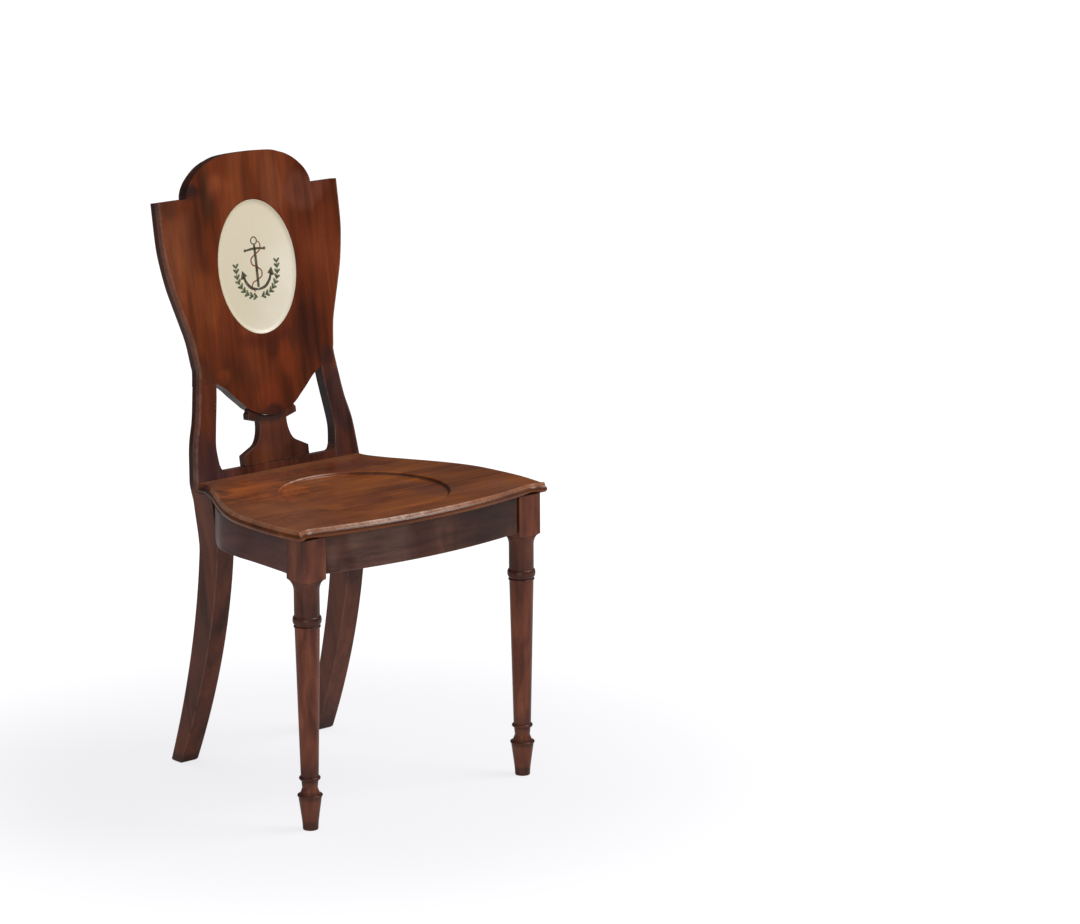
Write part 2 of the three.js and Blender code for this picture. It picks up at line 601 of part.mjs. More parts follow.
// The pedestal: plinth, coved neck and cap, between the rear rail and the shield's point
function pedestal() {
  const foot = REAR_RAIL_RISE + PEDESTAL_COVE_FOOT_RISE;
  const capTop = PEDESTAL_CAP_HEIGHT + PEDESTAL_CAP_EDGE;
  const capInner = PEDESTAL_CAP_HALF - PEDESTAL_CAP_STEP;
  const edge = shieldLowerEdge().map(([x, y]) => [x, y - JOINT_GAP]);
  const rising = edge.filter(([x]) => x < capInner);
  const last = edge[rising.length - 1];
  const next = edge[rising.length];
  const meet = last[1] + (next[1] - last[1]) * (capInner - last[0]) / (next[0] - last[0]);
  const half = [
    [0, REAR_RAIL_RISE + JOINT_GAP],
    [PEDESTAL_BASE_HALF, REAR_RAIL_RISE + JOINT_GAP],
    [PEDESTAL_BASE_HALF, REAR_RAIL_RISE + PEDESTAL_BASE_RISE],
    ...smooth(spread(PEDESTAL_COVE_SHARES, [PEDESTAL_NECK_HALF, PEDESTAL_COVE_FOOT_HALF],
      [foot, PEDESTAL_NECK_HEIGHT])),
    [PEDESTAL_CAP_HALF, PEDESTAL_CAP_HEIGHT],
    [PEDESTAL_CAP_HALF, capTop],
    [capInner, capTop + PEDESTAL_CAP_STEP],
    [capInner, meet],
    ...rising.reverse(),
  ];
  return raked(runBack(whole(half), PEDESTAL_SET_BACK, PEDESTAL_SET_BACK + PEDESTAL_THICKNESS)
    .add(pedestalTenon(REAR_RAIL_RISE, 0))
    .add(pedestalTenon(SHIELD_POINT_HEIGHT, 0)));
}

// Plan of a corner block: its outline, the corner it fills and the two ends of its open face
function cornerPlan(end) {
  const inner = sideRailInner().map(([x, y]) => [x - JOINT_GAP, y]);
  if (end === 'front') {
    const corner = [BLOCK_INNER_X - JOINT_GAP, FRONT_RAIL_BACK_Y + JOINT_GAP];
    const start = BLOCK_HALF + JOINT_GAP;
    const run = stretch(inner, start, start + CORNER_BLOCK_REACH);
    const railEnd = [corner[0] - CORNER_BLOCK_REACH, corner[1]];
    return { outline: [railEnd, corner, [corner[0], start], ...run], corner, railEnd, sideEnd: run.at(-1) };
  }
  const depth = faceDepth(CORNER_BLOCK_BOTTOM) - JOINT_GAP;
  const corner = [POST_INNER_X - JOINT_GAP, depth];
  const run = stretch(inner, SIDE_RAIL_BACK_Y - CORNER_BLOCK_REACH, SIDE_RAIL_BACK_Y);
  const railEnd = [corner[0] - CORNER_BLOCK_REACH, depth];
  const back = [[railEnd[0], LEG_TO_BACK], [corner[0], LEG_TO_BACK], [corner[0], SIDE_RAIL_BACK_Y]];
  return { outline: [...run, ...back.reverse(), railEnd], corner, railEnd, sideEnd: run[0] };
}

// Screws are drawn head down and point up; the cut around one leaves the joint gap
function screw(length) {
  const body = turned([
    [0, 0],
    [SCREW_HEAD_RADIUS, 0],
    [SCREW_HEAD_RADIUS, SCREW_HEAD_HEIGHT / 3],
    [SCREW_RADIUS, SCREW_HEAD_HEIGHT],
    [SCREW_RADIUS, length - SCREW_POINT],
    [0, length],
  ], SCREW_SEGMENTS);
  const reach = [-SCREW_HEAD_RADIUS - SCREW_SLOT_WIDTH, SCREW_HEAD_RADIUS + SCREW_SLOT_WIDTH];
  const slot = [-SCREW_SLOT_WIDTH / 2, SCREW_SLOT_WIDTH / 2];
  return body.subtract(box(slot, reach, [-SCREW_SLOT_DEPTH, SCREW_SLOT_DEPTH]));
}

function screwCut(length) {
  const head = SCREW_HEAD_RADIUS + JOINT_GAP;
  const shank = SCREW_RADIUS + JOINT_GAP;
  return turned([
    [0, -OVERRUN],
    [head, -OVERRUN],
    [head, SCREW_HEAD_HEIGHT / 3 + JOINT_GAP],
    [shank, SCREW_HEAD_HEIGHT + JOINT_GAP],
    [shank, length - SCREW_POINT + JOINT_GAP],
    [0, length + JOINT_GAP],
  ], SCREW_SEGMENTS);
}

// The three screws of a corner block, each with the drive that turns it and its head's place
function cornerScrews(end) {
  const { corner, railEnd, sideEnd } = cornerPlan(end);
  const onFace = (share) => railEnd.map((value, i) => value + (sideEnd[i] - value) * share);
  const middle = onFace(1 / 2);
  const level = CORNER_BLOCK_BOTTOM + CORNER_BLOCK_HEIGHT / 2;
  const [railX, railY] = onFace(RAIL_SCREW_SHARE);
  const [sideX, sideY] = onFace(SIDE_SCREW_SHARE);
  const inward = end === 'front' ? -SCREW_SINK : SCREW_SINK;
  return {
    seat: {
      drive: 'up',
      length: SEAT_SCREW_LENGTH,
      at: [...[0, 1].map((i) => (corner[i] + railEnd[i] + middle[i]) / 3), CORNER_BLOCK_BOTTOM + SCREW_SINK],
    },
    rail: {
      drive: end === 'front' ? 'forward' : 'back',
      length: RAIL_SCREW_LENGTH,
      at: [railX, railY + inward, level],
    },
    side: { drive: 'out', length: RAIL_SCREW_LENGTH, at: [sideX + SCREW_SINK, sideY, level] },
  };
}

function driven(solid, { drive, at }) {
  return solid.rotate(DRIVES[drive]).translate(at);
}

// A solid with the holes of the given screws
function drilled(solid, ...screws) {
  return screws.reduce((left, place) => left.subtract(driven(screwCut(place.length), place)), solid);
}

function cornerBlock(end, screws) {
  const block = raised(cornerPlan(end).outline, CORNER_BLOCK_BOTTOM, BOARD_BOTTOM).intersect(beforeBack());
  return drilled(block, ...Object.values(screws));
}

// A solid of both sides, drilled alike on the right and the left
function drilledTwice(solid, ...screws) {
  return drilled(drilled(solid, ...screws).mirror([1, 0, 0]), ...screws);
}

const front = cornerScrews('front');
const rear = cornerScrews('rear');

addPiece('seat_board', drilledTwice(seatBoard(), front.seat, rear.seat), SEAT_WOOD);
addPiece('front_rail', drilledTwice(frontRail(), front.rail), FRAME_WOOD);
addPiece('rear_rail', drilledTwice(rearRail(), rear.rail), FRAME_WOOD);
addPair('side_rail', drilled(sideRail(), front.side, rear.side), FRAME_WOOD);
addPair('front_leg', frontLeg(), FRAME_WOOD);
addPair('back_post', backPost(), SHIELD_WOOD);
addPiece('shield_panel', shieldPanel(), SHIELD_WOOD);
addPiece('oval_tablet', ovalTablet(), OVAL_PAINT);
addPiece('pedestal', pedestal(), SHIELD_WOOD);
for (const [end, screws] of Object.entries({ front, rear })) {
  addPair(`${end}_corner_block`, cornerBlock(end, screws), HIDDEN_WOOD);
  for (const [use, place] of Object.entries(screws)) {
    addPair(`${end}_${use}_screw`, driven(screw(place.length), place), IRON);
  }
}

const bounds = new THREE.Box3().setFromObject(chair);
const middle = bounds.getCenter(new THREE.Vector3());
chair.position.set(-middle.x, -middle.y, -bounds.min.z);

export default chair;
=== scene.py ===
"""A mahogany hall chair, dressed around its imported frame.

Metres, +Z up, the front faces -Y, and the origin lies on the floor in the middle of the chair's
box. Depths called work depths are measured from the axis of the front legs, as the maker sets the
chair out, and heights on the back are measured up its raked face from the seat.
"""
import logging
import math
from collections.abc import Callable, Iterable, Sequence
from dataclasses import dataclass
from enum import Enum

import bmesh
import bpy
from bmesh.types import BMEdge, BMesh, BMLayerItem, BMVert
from bpy.types import Material, Node, NodeSocket, NodeTree, Object
from mathutils import Matrix, Vector

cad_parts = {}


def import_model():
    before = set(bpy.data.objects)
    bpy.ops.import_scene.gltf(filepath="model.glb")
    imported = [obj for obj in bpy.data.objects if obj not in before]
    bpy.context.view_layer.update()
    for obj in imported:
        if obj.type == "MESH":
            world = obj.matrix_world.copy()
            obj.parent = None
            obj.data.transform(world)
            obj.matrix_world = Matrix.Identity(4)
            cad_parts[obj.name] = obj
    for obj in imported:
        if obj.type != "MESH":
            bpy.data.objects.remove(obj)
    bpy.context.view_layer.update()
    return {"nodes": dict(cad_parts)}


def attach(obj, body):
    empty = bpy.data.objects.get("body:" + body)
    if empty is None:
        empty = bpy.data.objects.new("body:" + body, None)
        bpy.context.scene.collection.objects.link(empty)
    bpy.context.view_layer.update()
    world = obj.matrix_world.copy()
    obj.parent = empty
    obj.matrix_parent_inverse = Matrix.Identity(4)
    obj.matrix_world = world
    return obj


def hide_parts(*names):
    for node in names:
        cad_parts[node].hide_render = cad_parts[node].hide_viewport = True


LOG = logging.getLogger("chair")
MM = 0.001
ROOT = "root"
# The arris layer marks pale wear and painted highlight; the other layer marks dirt and painted shade.
ARRIS = "arris"
DIRT_AND_SHADE = "grime"
SHARP = math.radians(45)
WHITE = (1.0, 1.0, 1.0)
VECTOR, COLOUR, VALUE = "NodeSocketVector", "NodeSocketColor", "NodeSocketFloat"
Pair = tuple[float, float]
Triple = tuple[float, float, float]
Line = Sequence[Pair]
Mark = Callable[[Vector, Vector], float | None]


def srgb(*screen: float) -> Triple:
    """Gives the linear colour of an 8-bit screen colour."""
    shares = (value / 255 for value in screen)
    return tuple(s / 12.92 if s <= 0.04045 else ((s + 0.055) / 1.055) ** 2.4 for s in shares)


def smooth(points: Line, steps: int) -> list[Pair]:
    """Runs a curve through points, as a batten bent round pins would lie.

    Args:
        points: the points to pass through.
        steps: how many steps to take over the whole run.

    Returns:
        The points of the curve, both ends included.
    """
    last = len(points) - 1
    found = []
    for step in range(steps + 1):
        place = last * step / steps
        i = min(int(place), last - 1)
        t = place - i
        pins = (points[min(max(i + k, 0), last)] for k in (-1, 0, 1, 2))
        found.append(tuple(
            b + 0.5 * t * (c - a + t * (2 * a - 5 * b + 4 * c - d + t * (3 * (b - c) + d - a)))
            for a, b, c, d in zip(*pins)))
    return found


def arc(centre: Pair, radii: Pair, start: float, end: float, steps: int) -> list[Pair]:
    """Draws part of an ellipse, from one angle in degrees to another."""
    angles = [math.radians(start + (end - start) * i / steps) for i in range(steps + 1)]
    return [(centre[0] + radii[0] * math.cos(a), centre[1] + radii[1] * math.sin(a)) for a in angles]


def ellipse(height: float, half: float, tall: float) -> list[Pair]:
    """Draws a whole ellipse on the middle line, without its first point again."""
    return arc((0, height), (half, tall), 0, 360, 96)[:-1]


def bow(half: float, rise: float, front: float) -> list[Pair]:
    """Draws the right half of a shallow bow, of a half width and a rise, from its middle's depth."""
    radius = (half ** 2 + rise ** 2) / (2 * rise)
    return arc((0, front + radius), (radius, radius), -90,
               math.degrees(math.asin(half / radius)) - 90, 30)


def spread(shares: Line, across: Pair, along: Pair) -> list[Pair]:
    """Turns shares into places between two sizes across and two along."""
    return [(across[0] + (across[1] - across[0]) * a, along[0] + (along[1] - along[0]) * b)
            for a, b in shares]


def crossing(run: Line, y: float) -> float:
    """Finds the x at which a run that rises in y passes a height."""
    (x0, y0), (x1, y1) = next((pair for pair in zip(run, run[1:]) if pair[1][1] >= y), run[-2:])
    return x0 + (x1 - x0) * (y - y0) / (y1 - y0)


def stretch(run: Line, low: float, high: float) -> list[Pair]:
    """Cuts a rising run to the part between two heights, both ends included."""
    inside = [point for point in run if low < point[1] < high]
    return [(crossing(run, low), low), *inside, (crossing(run, high), high)]


def whole(half: Line) -> list[Pair]:
    """Gives a whole outline from its right half, which starts and ends on the middle line."""
    return [*half, *[(-x, y) for x, y in reversed(half[1:-1])]]


def mirrored(points: Iterable[Vector]) -> list[Vector]:
    """Mirrors points to the chair's other side."""
    return [Vector((-p.x, p.y, p.z)) for p in points]


def pick(*cases: tuple[float, bool]) -> float:
    """Gives the share of the first case that holds, or 0."""
    return next((share for share, holds in cases if holds), 0.0)


def rises(edge: BMEdge) -> bool:
    """Says whether an edge isn't level."""
    return abs(edge.verts[0].co.z - edge.verts[1].co.z) > 0.5 * MM


class Side(Enum):
    """The two sides, as seen by someone who faces the chair."""

    LEFT = -1
    RIGHT = 1

    @property
    def word(self) -> str:
        """The side's name in the frame's nodes."""
        return self.name.lower()


@dataclass(frozen=True)
class Setting:
    """Sizes that several pieces share, in millimetres."""

    seat_height: float = 435
    board_bottom: float = 421
    rail_bottom: float = 367.5
    rear_rise: float = 10.5
    block_bottom: float = 361
    block_half: float = 19.5
    middle_depth: float = 177.765
    leg_to_back: float = 309.6
    back_half: float = 150.5
    post_inner: float = 105.5
    post_outer: float = 137
    back_thickness: float = 18.5
    rail_front: float = -36
    gap: float = 0.3
    rake: float = math.radians(8.6)
    sine: float = math.sin(rake)
    cosine: float = math.cos(rake)

    def place(self, x: float, depth: float, height: float) -> Vector:
        """Puts a point, by its work depth, in the chair's frame."""
        return Vector((x * MM, (depth - self.middle_depth) * MM, height * MM))

    def on_back(self, x: float, height: float, behind: float = 0.0) -> Vector:
        """Puts a point on the back, or behind its face, by its height up that face."""
        return self.place(x, self.leg_to_back + height * self.sine + behind * self.cosine,
                          self.seat_height + height * self.cosine - behind * self.sine)

    def level(self, outline: Line, height: float) -> list[Vector]:
        """Lays an outline of work depths level at a height."""
        return [self.place(x, depth, height) for x, depth in outline]

    def raked(self, outline: Line, behind: float = 0.0) -> list[Vector]:
        """Lays an outline on the back, or behind its face."""
        return [self.on_back(x, height, behind) for x, height in outline]

    def face_depth(self, height: float) -> float:
        """The work depth of the raked face at a height above the floor."""
        return self.leg_to_back + (height - self.seat_height) * math.tan(self.rake)

    def behind(self, place: Vector) -> float:
        """The distance of a place, in millimetres, behind the raked face."""
        return (place.y + self.middle_depth - self.face_depth(place.z)) * self.cosine


CHAIR = Setting()


def add_object(name: str, data: bpy.types.ID) -> Object:
    """Links new data to the scene.

    Args:
        name: the object's name.
        data: its mesh, camera or lamp.

    Returns:
        The object.
    """
    made = bpy.data.objects.new(name, data)
    bpy.context.scene.collection.objects.link(made)
    return made


def add_mesh(name: str, mesh: BMesh, material: Material) -> Object:
    """Puts a mesh in the scene.

    Args:
        name: the object's name.
        mesh: its shape, which is freed.
        material: its finish.

    Returns:
        The object.
    """
    data = bpy.data.meshes.new(name)
    mesh.to_mesh(data)
    mesh.free()
    data.materials.append(material)
    return add_object(name, data)


class Workpiece:
    """One piece on the bench: a mesh in the making."""

    def __init__(self, name: str) -> None:
        """Starts an empty piece.

        Args:
            name: the piece's name in the scene.
        """
        self.name = name
        self.mesh: BMesh = bmesh.new()
        self.order = self.mesh.verts.layers.int.new("order")
        self.arris = self.mesh.loops.layers.float.new(ARRIS)
        self.grime = self.mesh.loops.layers.float.new(DIRT_AND_SHADE)

    def ring(self, points: Sequence[Vector]) -> list[BMEdge]:
        """Lays down a closed ring of edges.

        Args:
            points: the ring's points.

        Returns:
            The ring's edges.
        """
        verts = [self.mesh.verts.new(point) for point in points]
        for i, vert in enumerate(verts):
            vert[self.order] = i
        return [self.mesh.edges.new((verts[i - 1], verts[i])) for i in range(len(verts))]

    def draw(self, edges: list[BMEdge], *rings: Sequence[Vector]) -> list[BMEdge]:
        """Extrudes a ring of edges through further rings.

        Args:
            edges: the edges to extrude.
            *rings: where their vertices go, ring by ring.

        Returns:
            The last ring's edges.
        """
        for points in rings:
            made = bmesh.ops.extrude_edge_only(self.mesh, edges=edges)["geom"]
            verts = {v for v in made if isinstance(v, BMVert)}
            for vert in verts:
                vert.co = points[vert[self.order]]
            edges = [e for e in made if isinstance(e, BMEdge) and verts.issuperset(e.verts)]
        return edges

    def close(self, edges: list[BMEdge]) -> None:
        """Closes a ring of edges with one flat face."""
        bmesh.ops.contextual_create(self.mesh, geom=edges)

    def loft(self, rings: Sequence[Sequence[Vector]]) -> None:
        """Makes a closed body through rings that have the same number of points.

        Args:
            rings: the rings, from one end to the other.
        """
        edges = self.ring(rings[0])
        self.close(edges)
        self.close(self.draw(edges, *rings[1:]))

    def merge(self, within: float = 0.02) -> None:
        """Makes one vertex of those that lie within a distance, in millimetres."""
        bmesh.ops.remove_doubles(self.mesh, verts=self.mesh.verts[:], dist=within * MM)

    def face_out(self) -> None:
        """Turns the faces outwards."""
        bmesh.ops.recalc_face_normals(self.mesh, faces=self.mesh.faces[:])

    def soften(self, width: float, segments: int = 3, sharper_than: float = 30,
               only: Callable[[BMEdge], bool] = lambda edge: True) -> None:
        """Rounds the sharp edges and marks them as arrises.

        Args:
            width: how far the rounding reaches, in millimetres.
            segments: how many facets make the rounding.
            sharper_than: the least angle of an edge that is rounded, in degrees.
            only: says which of these edges are rounded.
        """
        self.face_out()
        limit = math.radians(sharper_than)
        edges = [e for e in self.mesh.edges if e.is_manifold and e.calc_face_angle(0) > limit and only(e)]
        made = bmesh.ops.bevel(self.mesh, geom=edges, offset=width * MM, offset_type="OFFSET",
                               affect="EDGES", segments=segments, profile=0.5, material=-1,
                               clamp_overlap=True)
        for face in made["faces"]:
            for loop in face.loops:
                loop[self.arris] = 1.0

    def mark(self, layer: BMLayerItem, share: Mark) -> None:
        """Marks the wear and painted highlight, or the dirt and painted shade, corner by corner.

        Args:
            layer: the layer of marks.
            share: gives the mark, from 0 to 1, or None to leave it as it is, from a place in
                millimetres and its face's normal.
        """
        self.face_out()
        for face in self.mesh.faces:
            for loop in face.loops:
                found = share(loop.vert.co / MM, face.normal)
                if found is not None:
                    loop[layer] = found

    def finish(self, material: Material, slot: str, *nodes: str) -> None:
        """Turns the mesh into a finished piece on the chair.

        Args:
            material: the piece's finish.
            slot: the name of the piece's material slot, which is not used.
            *nodes: the frame's nodes that the piece stands for.
        """
        self.merge()
        self.face_out()
        for face in self.mesh.faces:
            face.smooth = True
        for edge in self.mesh.edges:
            edge.smooth = edge.calc_face_angle(0) < SHARP
        piece = add_mesh(self.name, self.mesh, material)
        even = piece.modifiers.new("even", "WEIGHTED_NORMAL")
        even.mode, even.weight, even.keep_sharp = "FACE_AREA", 50, True
        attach(piece, ROOT)
        if nodes:
            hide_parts(*nodes)
        LOG.info("%s: %d faces", self.name, len(piece.data.polygons))


class Nodes:
    """A node tree under construction, with short words for what it needs."""

    def __init__(self, tree: NodeTree) -> None:
        """Takes the tree to build in."""
        self.tree = tree

    def feed(self, node: Node, inputs: dict[str | int, object]) -> Node:
        """Feeds a node's inputs.

        Args:
            node: the node.
            inputs: a value, or a socket to link from, for each input by name or number. A colour
                of three numbers is opaque.

        Returns:
            The node.
        """
        for name, value in inputs.items():
            socket = node.inputs[name]
            if isinstance(value, NodeSocket):
                self.tree.links.new(value, socket)
            else:
                opaque = socket.type == "RGBA" and len(value) == 3
                socket.default_value = (*value, 1) if opaque else value
        return node

    def add(self, kind: str, inputs: dict[str | int, object], **settings: object) -> Node:
        """Adds a node.

        Args:
            kind: the shader node's type.
            inputs: what feeds its inputs.
            **settings: the node's own properties.

        Returns:
            The node.
        """
        node = self.tree.nodes.new(f"ShaderNode{kind}")
        for name, value in settings.items():
            setattr(node, name, value)
        return self.feed(node, inputs)

    def math(self, operation: str, *values: object, clamp: bool = False) -> NodeSocket:
        """Does one sum on values or sockets and gives its socket."""
        return self.add("Math", dict(enumerate(values)), operation=operation, use_clamp=clamp).outputs[0]

    def vector(self, operation: str, *values: object, output: int = 0) -> NodeSocket:
        """Does one vector sum and gives its vector, or its value as output 1."""
        return self.add("VectorMath", dict(enumerate(values)), operation=operation).outputs[output]

    def mix(self, share: object, first: object, second: object, blend: str = "MIX") -> NodeSocket:
        """Mixes a share of the second colour into the first and gives the mixed colour."""
        return self.add("Mix", {0: share, 6: first, 7: second}, data_type="RGBA", blend_type=blend,
                        clamp_factor=True).outputs[2]

    def ramp(self, value: NodeSocket, low: float, high: float, start: float = 0.0,
             end: float = 1.0) -> NodeSocket:
        """Maps a value from the range low to high to the range start to end, with soft ends."""
        return self.add("MapRange", {0: value, 1: low, 2: high, 3: start, 4: end},
                        interpolation_type="SMOOTHSTEP").outputs[0]

    def noise(self, place: object, scale: float, detail: float, rough: float,
              along: float = 1.0) -> NodeSocket:
        """Adds a noise pattern, drawn out in z where along is under 1, and gives its value."""
        where = self.vector("MULTIPLY", place, (1.0, 1.0, along))
        return self.add("TexNoise", {"Vector": where, "Scale": scale, "Detail": detail,
                                     "Roughness": rough}).outputs[0]

    def rays(self) -> tuple[NodeSocket, NodeSocket]:
        """Tells the rays of light apart.

        Returns:
            A socket that is 1 for rays from the camera or through glass, and one that is 1 for rays
            that a gloss mirrors.
        """
        path = self.add("LightPath", {}).outputs
        seen = self.math("MAXIMUM", path["Is Camera Ray"], path["Is Transmission Ray"])
        return seen, path["Is Glossy Ray"]


class Group(Nodes):
    """A node group under construction, which several finishes share."""

    def __init__(self, name: str, inputs: dict[str, str], outputs: dict[str, str]) -> None:
        """Starts a group.

        Args:
            name: the group's name.
            inputs: the kind of each input.
            outputs: the kind of each output.
        """
        super().__init__(bpy.data.node_groups.new(name, "ShaderNodeTree"))
        for way, sockets in (("INPUT", inputs), ("OUTPUT", outputs)):
            for label, kind in sockets.items():
                self.tree.interface.new_socket(label, in_out=way, socket_type=kind)
        self.given = self.tree.nodes.new("NodeGroupInput").outputs

    def close(self, **found: NodeSocket) -> NodeTree:
        """Gives out what the group finds."""
        self.feed(self.tree.nodes.new("NodeGroupOutput"), found)
        return self.tree


class Surface(Nodes):
    """A material under construction, and the place on the piece that it starts from."""

    def __init__(self, name: str) -> None:
        """Starts an empty material.

        Args:
            name: the material's name.
        """
        self.material = bpy.data.materials.new(name)
        self.material.use_nodes = True
        super().__init__(self.material.node_tree)
        self.tree.nodes.clear()
        self.where = self.add("TexCoord", {}).outputs["Object"]

    def marked(self, layer: str) -> NodeSocket:
        """Gives the marks that a piece carries in a layer."""
        return self.add("Attribute", {}, attribute_name=layer).outputs["Fac"]

    def close(self, shader: Node) -> Material:
        """Puts a shader on the surface and gives the material."""
        self.add("OutputMaterial", {"Surface": shader.outputs[0]})
        return self.material

    def polish(self, height: NodeSocket, strength: float, inputs: dict[str, object]) -> Material:
        """Closes the material with a shader whose relief follows a height."""
        relief = self.add("Bump", {"Height": height, "Strength": strength, "Distance": 0.0003})
        return self.close(self.add("BsdfPrincipled", {**inputs, "Normal": relief.outputs[0]}))


def timber_group() -> NodeTree:
    """Builds the grain that every mahogany finish shares.

    Its place runs along the grain in z, in metres.

    Returns:
        The node group.
    """
    make = Group("mahogany_grain", {
        "Place": VECTOR, "Dark": COLOUR, "Body": COLOUR, "Light": COLOUR, "Tint": COLOUR,
        "Figure Width": VALUE, "Line Strength": VALUE, "Arris": VALUE, "Wear": VALUE, "Grime": VALUE,
        "Gloss": VALUE}, {"Color": COLOUR, "Roughness": VALUE, "Height": VALUE})
    given = make.given
    place = given["Place"]

    wander = make.add("TexNoise", {"Vector": make.vector("MULTIPLY", place, (1.0, 1.0, 0.5)),
                                   "Scale": 11.0, "Detail": 2.0}).outputs["Color"]
    shift = make.vector("MULTIPLY", make.vector("SUBTRACT", wander, (0.5, 0.5, 0.5)), (0.07, 0.07, 0.04))
    bent = make.vector("ADD", place, shift)
    calm = make.vector("ADD", place, make.vector("MULTIPLY", shift, (0.03, 0.03, 0.03)))

    figure = make.noise(bent, make.math("DIVIDE", 1.0, given["Figure Width"]), 1.5, 0.5, 0.3)
    streaks = make.noise(calm, 75.0, 4.0, 0.65, 0.08)
    lines = make.noise(calm, 420.0, 3.0, 0.7, 0.03)
    pores = make.noise(place, 1300.0, 2.0, 0.5, 0.05)

    tone = make.math("ADD", make.math("MULTIPLY", make.ramp(figure, 0.3, 0.7), 0.6),
                     make.math("MULTIPLY", make.ramp(streaks, 0.32, 0.68), 0.4))
    low = make.mix(make.ramp(tone, 0.0, 0.55), given["Dark"], given["Body"])
    colour = make.mix(make.ramp(tone, 0.45, 1.0), low, given["Light"])
    line = make.math("MULTIPLY", make.ramp(lines, 0.5, 0.72), given["Line Strength"])
    colour = make.mix(make.math("MULTIPLY", line, 0.6), colour, given["Dark"])
    pore = make.ramp(pores, 0.6, 0.72)
    colour = make.mix(make.math("MULTIPLY", pore, 0.3), colour, (0.012, 0.004, 0.003))
    colour = make.mix(1.0, colour, given["Tint"], "MULTIPLY")

    # Arris marks, times their strength, draw pale wear and painted highlight; the darker marks draw dirt
    # and painted shade, both in patches.
    patchiness = make.noise(place, 75.0, 5.0, 0.7)
    wear_and_highlight_share = make.math("MULTIPLY", make.math("MULTIPLY", given["Arris"], given["Wear"]),
                     make.ramp(patchiness, 0.3, 0.66, 0.2, 1.0), clamp=True)
    colour = make.mix(wear_and_highlight_share, colour, make.mix(0.75, given["Light"], (0.58, 0.42, 0.34)))
    dirt_and_shade_share = make.math("MULTIPLY", given["Grime"], make.ramp(patchiness, 0.2, 0.6, 0.75, 1.0))
    colour = make.mix(dirt_and_shade_share, colour, make.mix(0.78, colour, (0.012, 0.006, 0.007)))

    rough = make.math("ADD", given["Gloss"], make.ramp(figure, 0.3, 0.7, -0.04, 0.06))
    rough = make.math("ADD", rough, make.math("MULTIPLY", pore, 0.15))
    rough = make.math("ADD", rough, make.math("MULTIPLY", wear_and_highlight_share, 0.12), clamp=True)
    hollow = make.math("ADD", make.math("MULTIPLY", line, 0.35), make.math("MULTIPLY", pore, 0.5))
    return make.close(Color=colour, Roughness=rough, Height=make.math("SUBTRACT", 1.0, hollow))


def patch_group() -> NodeTree:
    """Builds a soft oval patch with a wandering edge, for a change of tone; most patches are the wood's
    own tone, a few are painted shadow and sheen.

    Returns:
        The node group, whose share is 1 at the patch's centre and 0 outside its reach.
    """
    make = Group("tone_patch", {"Place": VECTOR, "Centre": VECTOR, "Reach": VECTOR}, {"Share": VALUE})
    place = make.given["Place"]
    off = make.vector("DIVIDE", make.vector("SUBTRACT", place, make.given["Centre"]), make.given["Reach"])
    drift = make.ramp(make.noise(place, 30.0, 1.0, 0.5, 0.4), 0.25, 0.75, -0.45, 0.45)
    edge = make.math("ADD", make.vector("LENGTH", off, output=1), drift)
    return make.close(Share=make.ramp(edge, 0.35, 1.15, 1.0, 0.0))


class Run(Enum):
    """Which way the grain of a piece runs."""

    UP = (0.0, 0.0, 0.0)
    ACROSS = (0.0, math.pi / 2, 0.0)
    ALONG = (math.pi / 2, 0.0, 0.0)
    UP_BACK = (CHAIR.rake, 0.0, 0.0)


@dataclass(frozen=True)
class Zone:
    """Part of a surface drawn in another tone: mostly the wood's own, in a few zones a painted shadow or
    sheen.
    """

    centre: Vector
    reach: Triple
    tone: Triple

    @classmethod
    def on_back(cls, x: float, height: float, wide: float, tall: float, *tone: float) -> "Zone":
        """Makes a zone on the back, from its centre, its reaches and its screen colour."""
        return cls(CHAIR.on_back(x, height), (wide * MM, 1.0, tall * MM), srgb(*tone))

    @classmethod
    def on_seat(cls, x: float, depth: float, wide: float, deep: float, *tone: float) -> "Zone":
        """Makes a zone on the seat, from its centre, its reaches and its screen colour."""
        return cls(CHAIR.place(x, depth, CHAIR.seat_height), (wide * MM, deep * MM, 1.0), srgb(*tone))

    @classmethod
    def on_rail(cls, x: float, height: float, wide: float, tall: float, *tone: float) -> "Zone":
        """Makes a zone on the front rail, from its centre, its reaches and its screen colour."""
        return cls(CHAIR.place(x, CHAIR.rail_front, height), (wide * MM, 1.0, tall * MM), srgb(*tone))


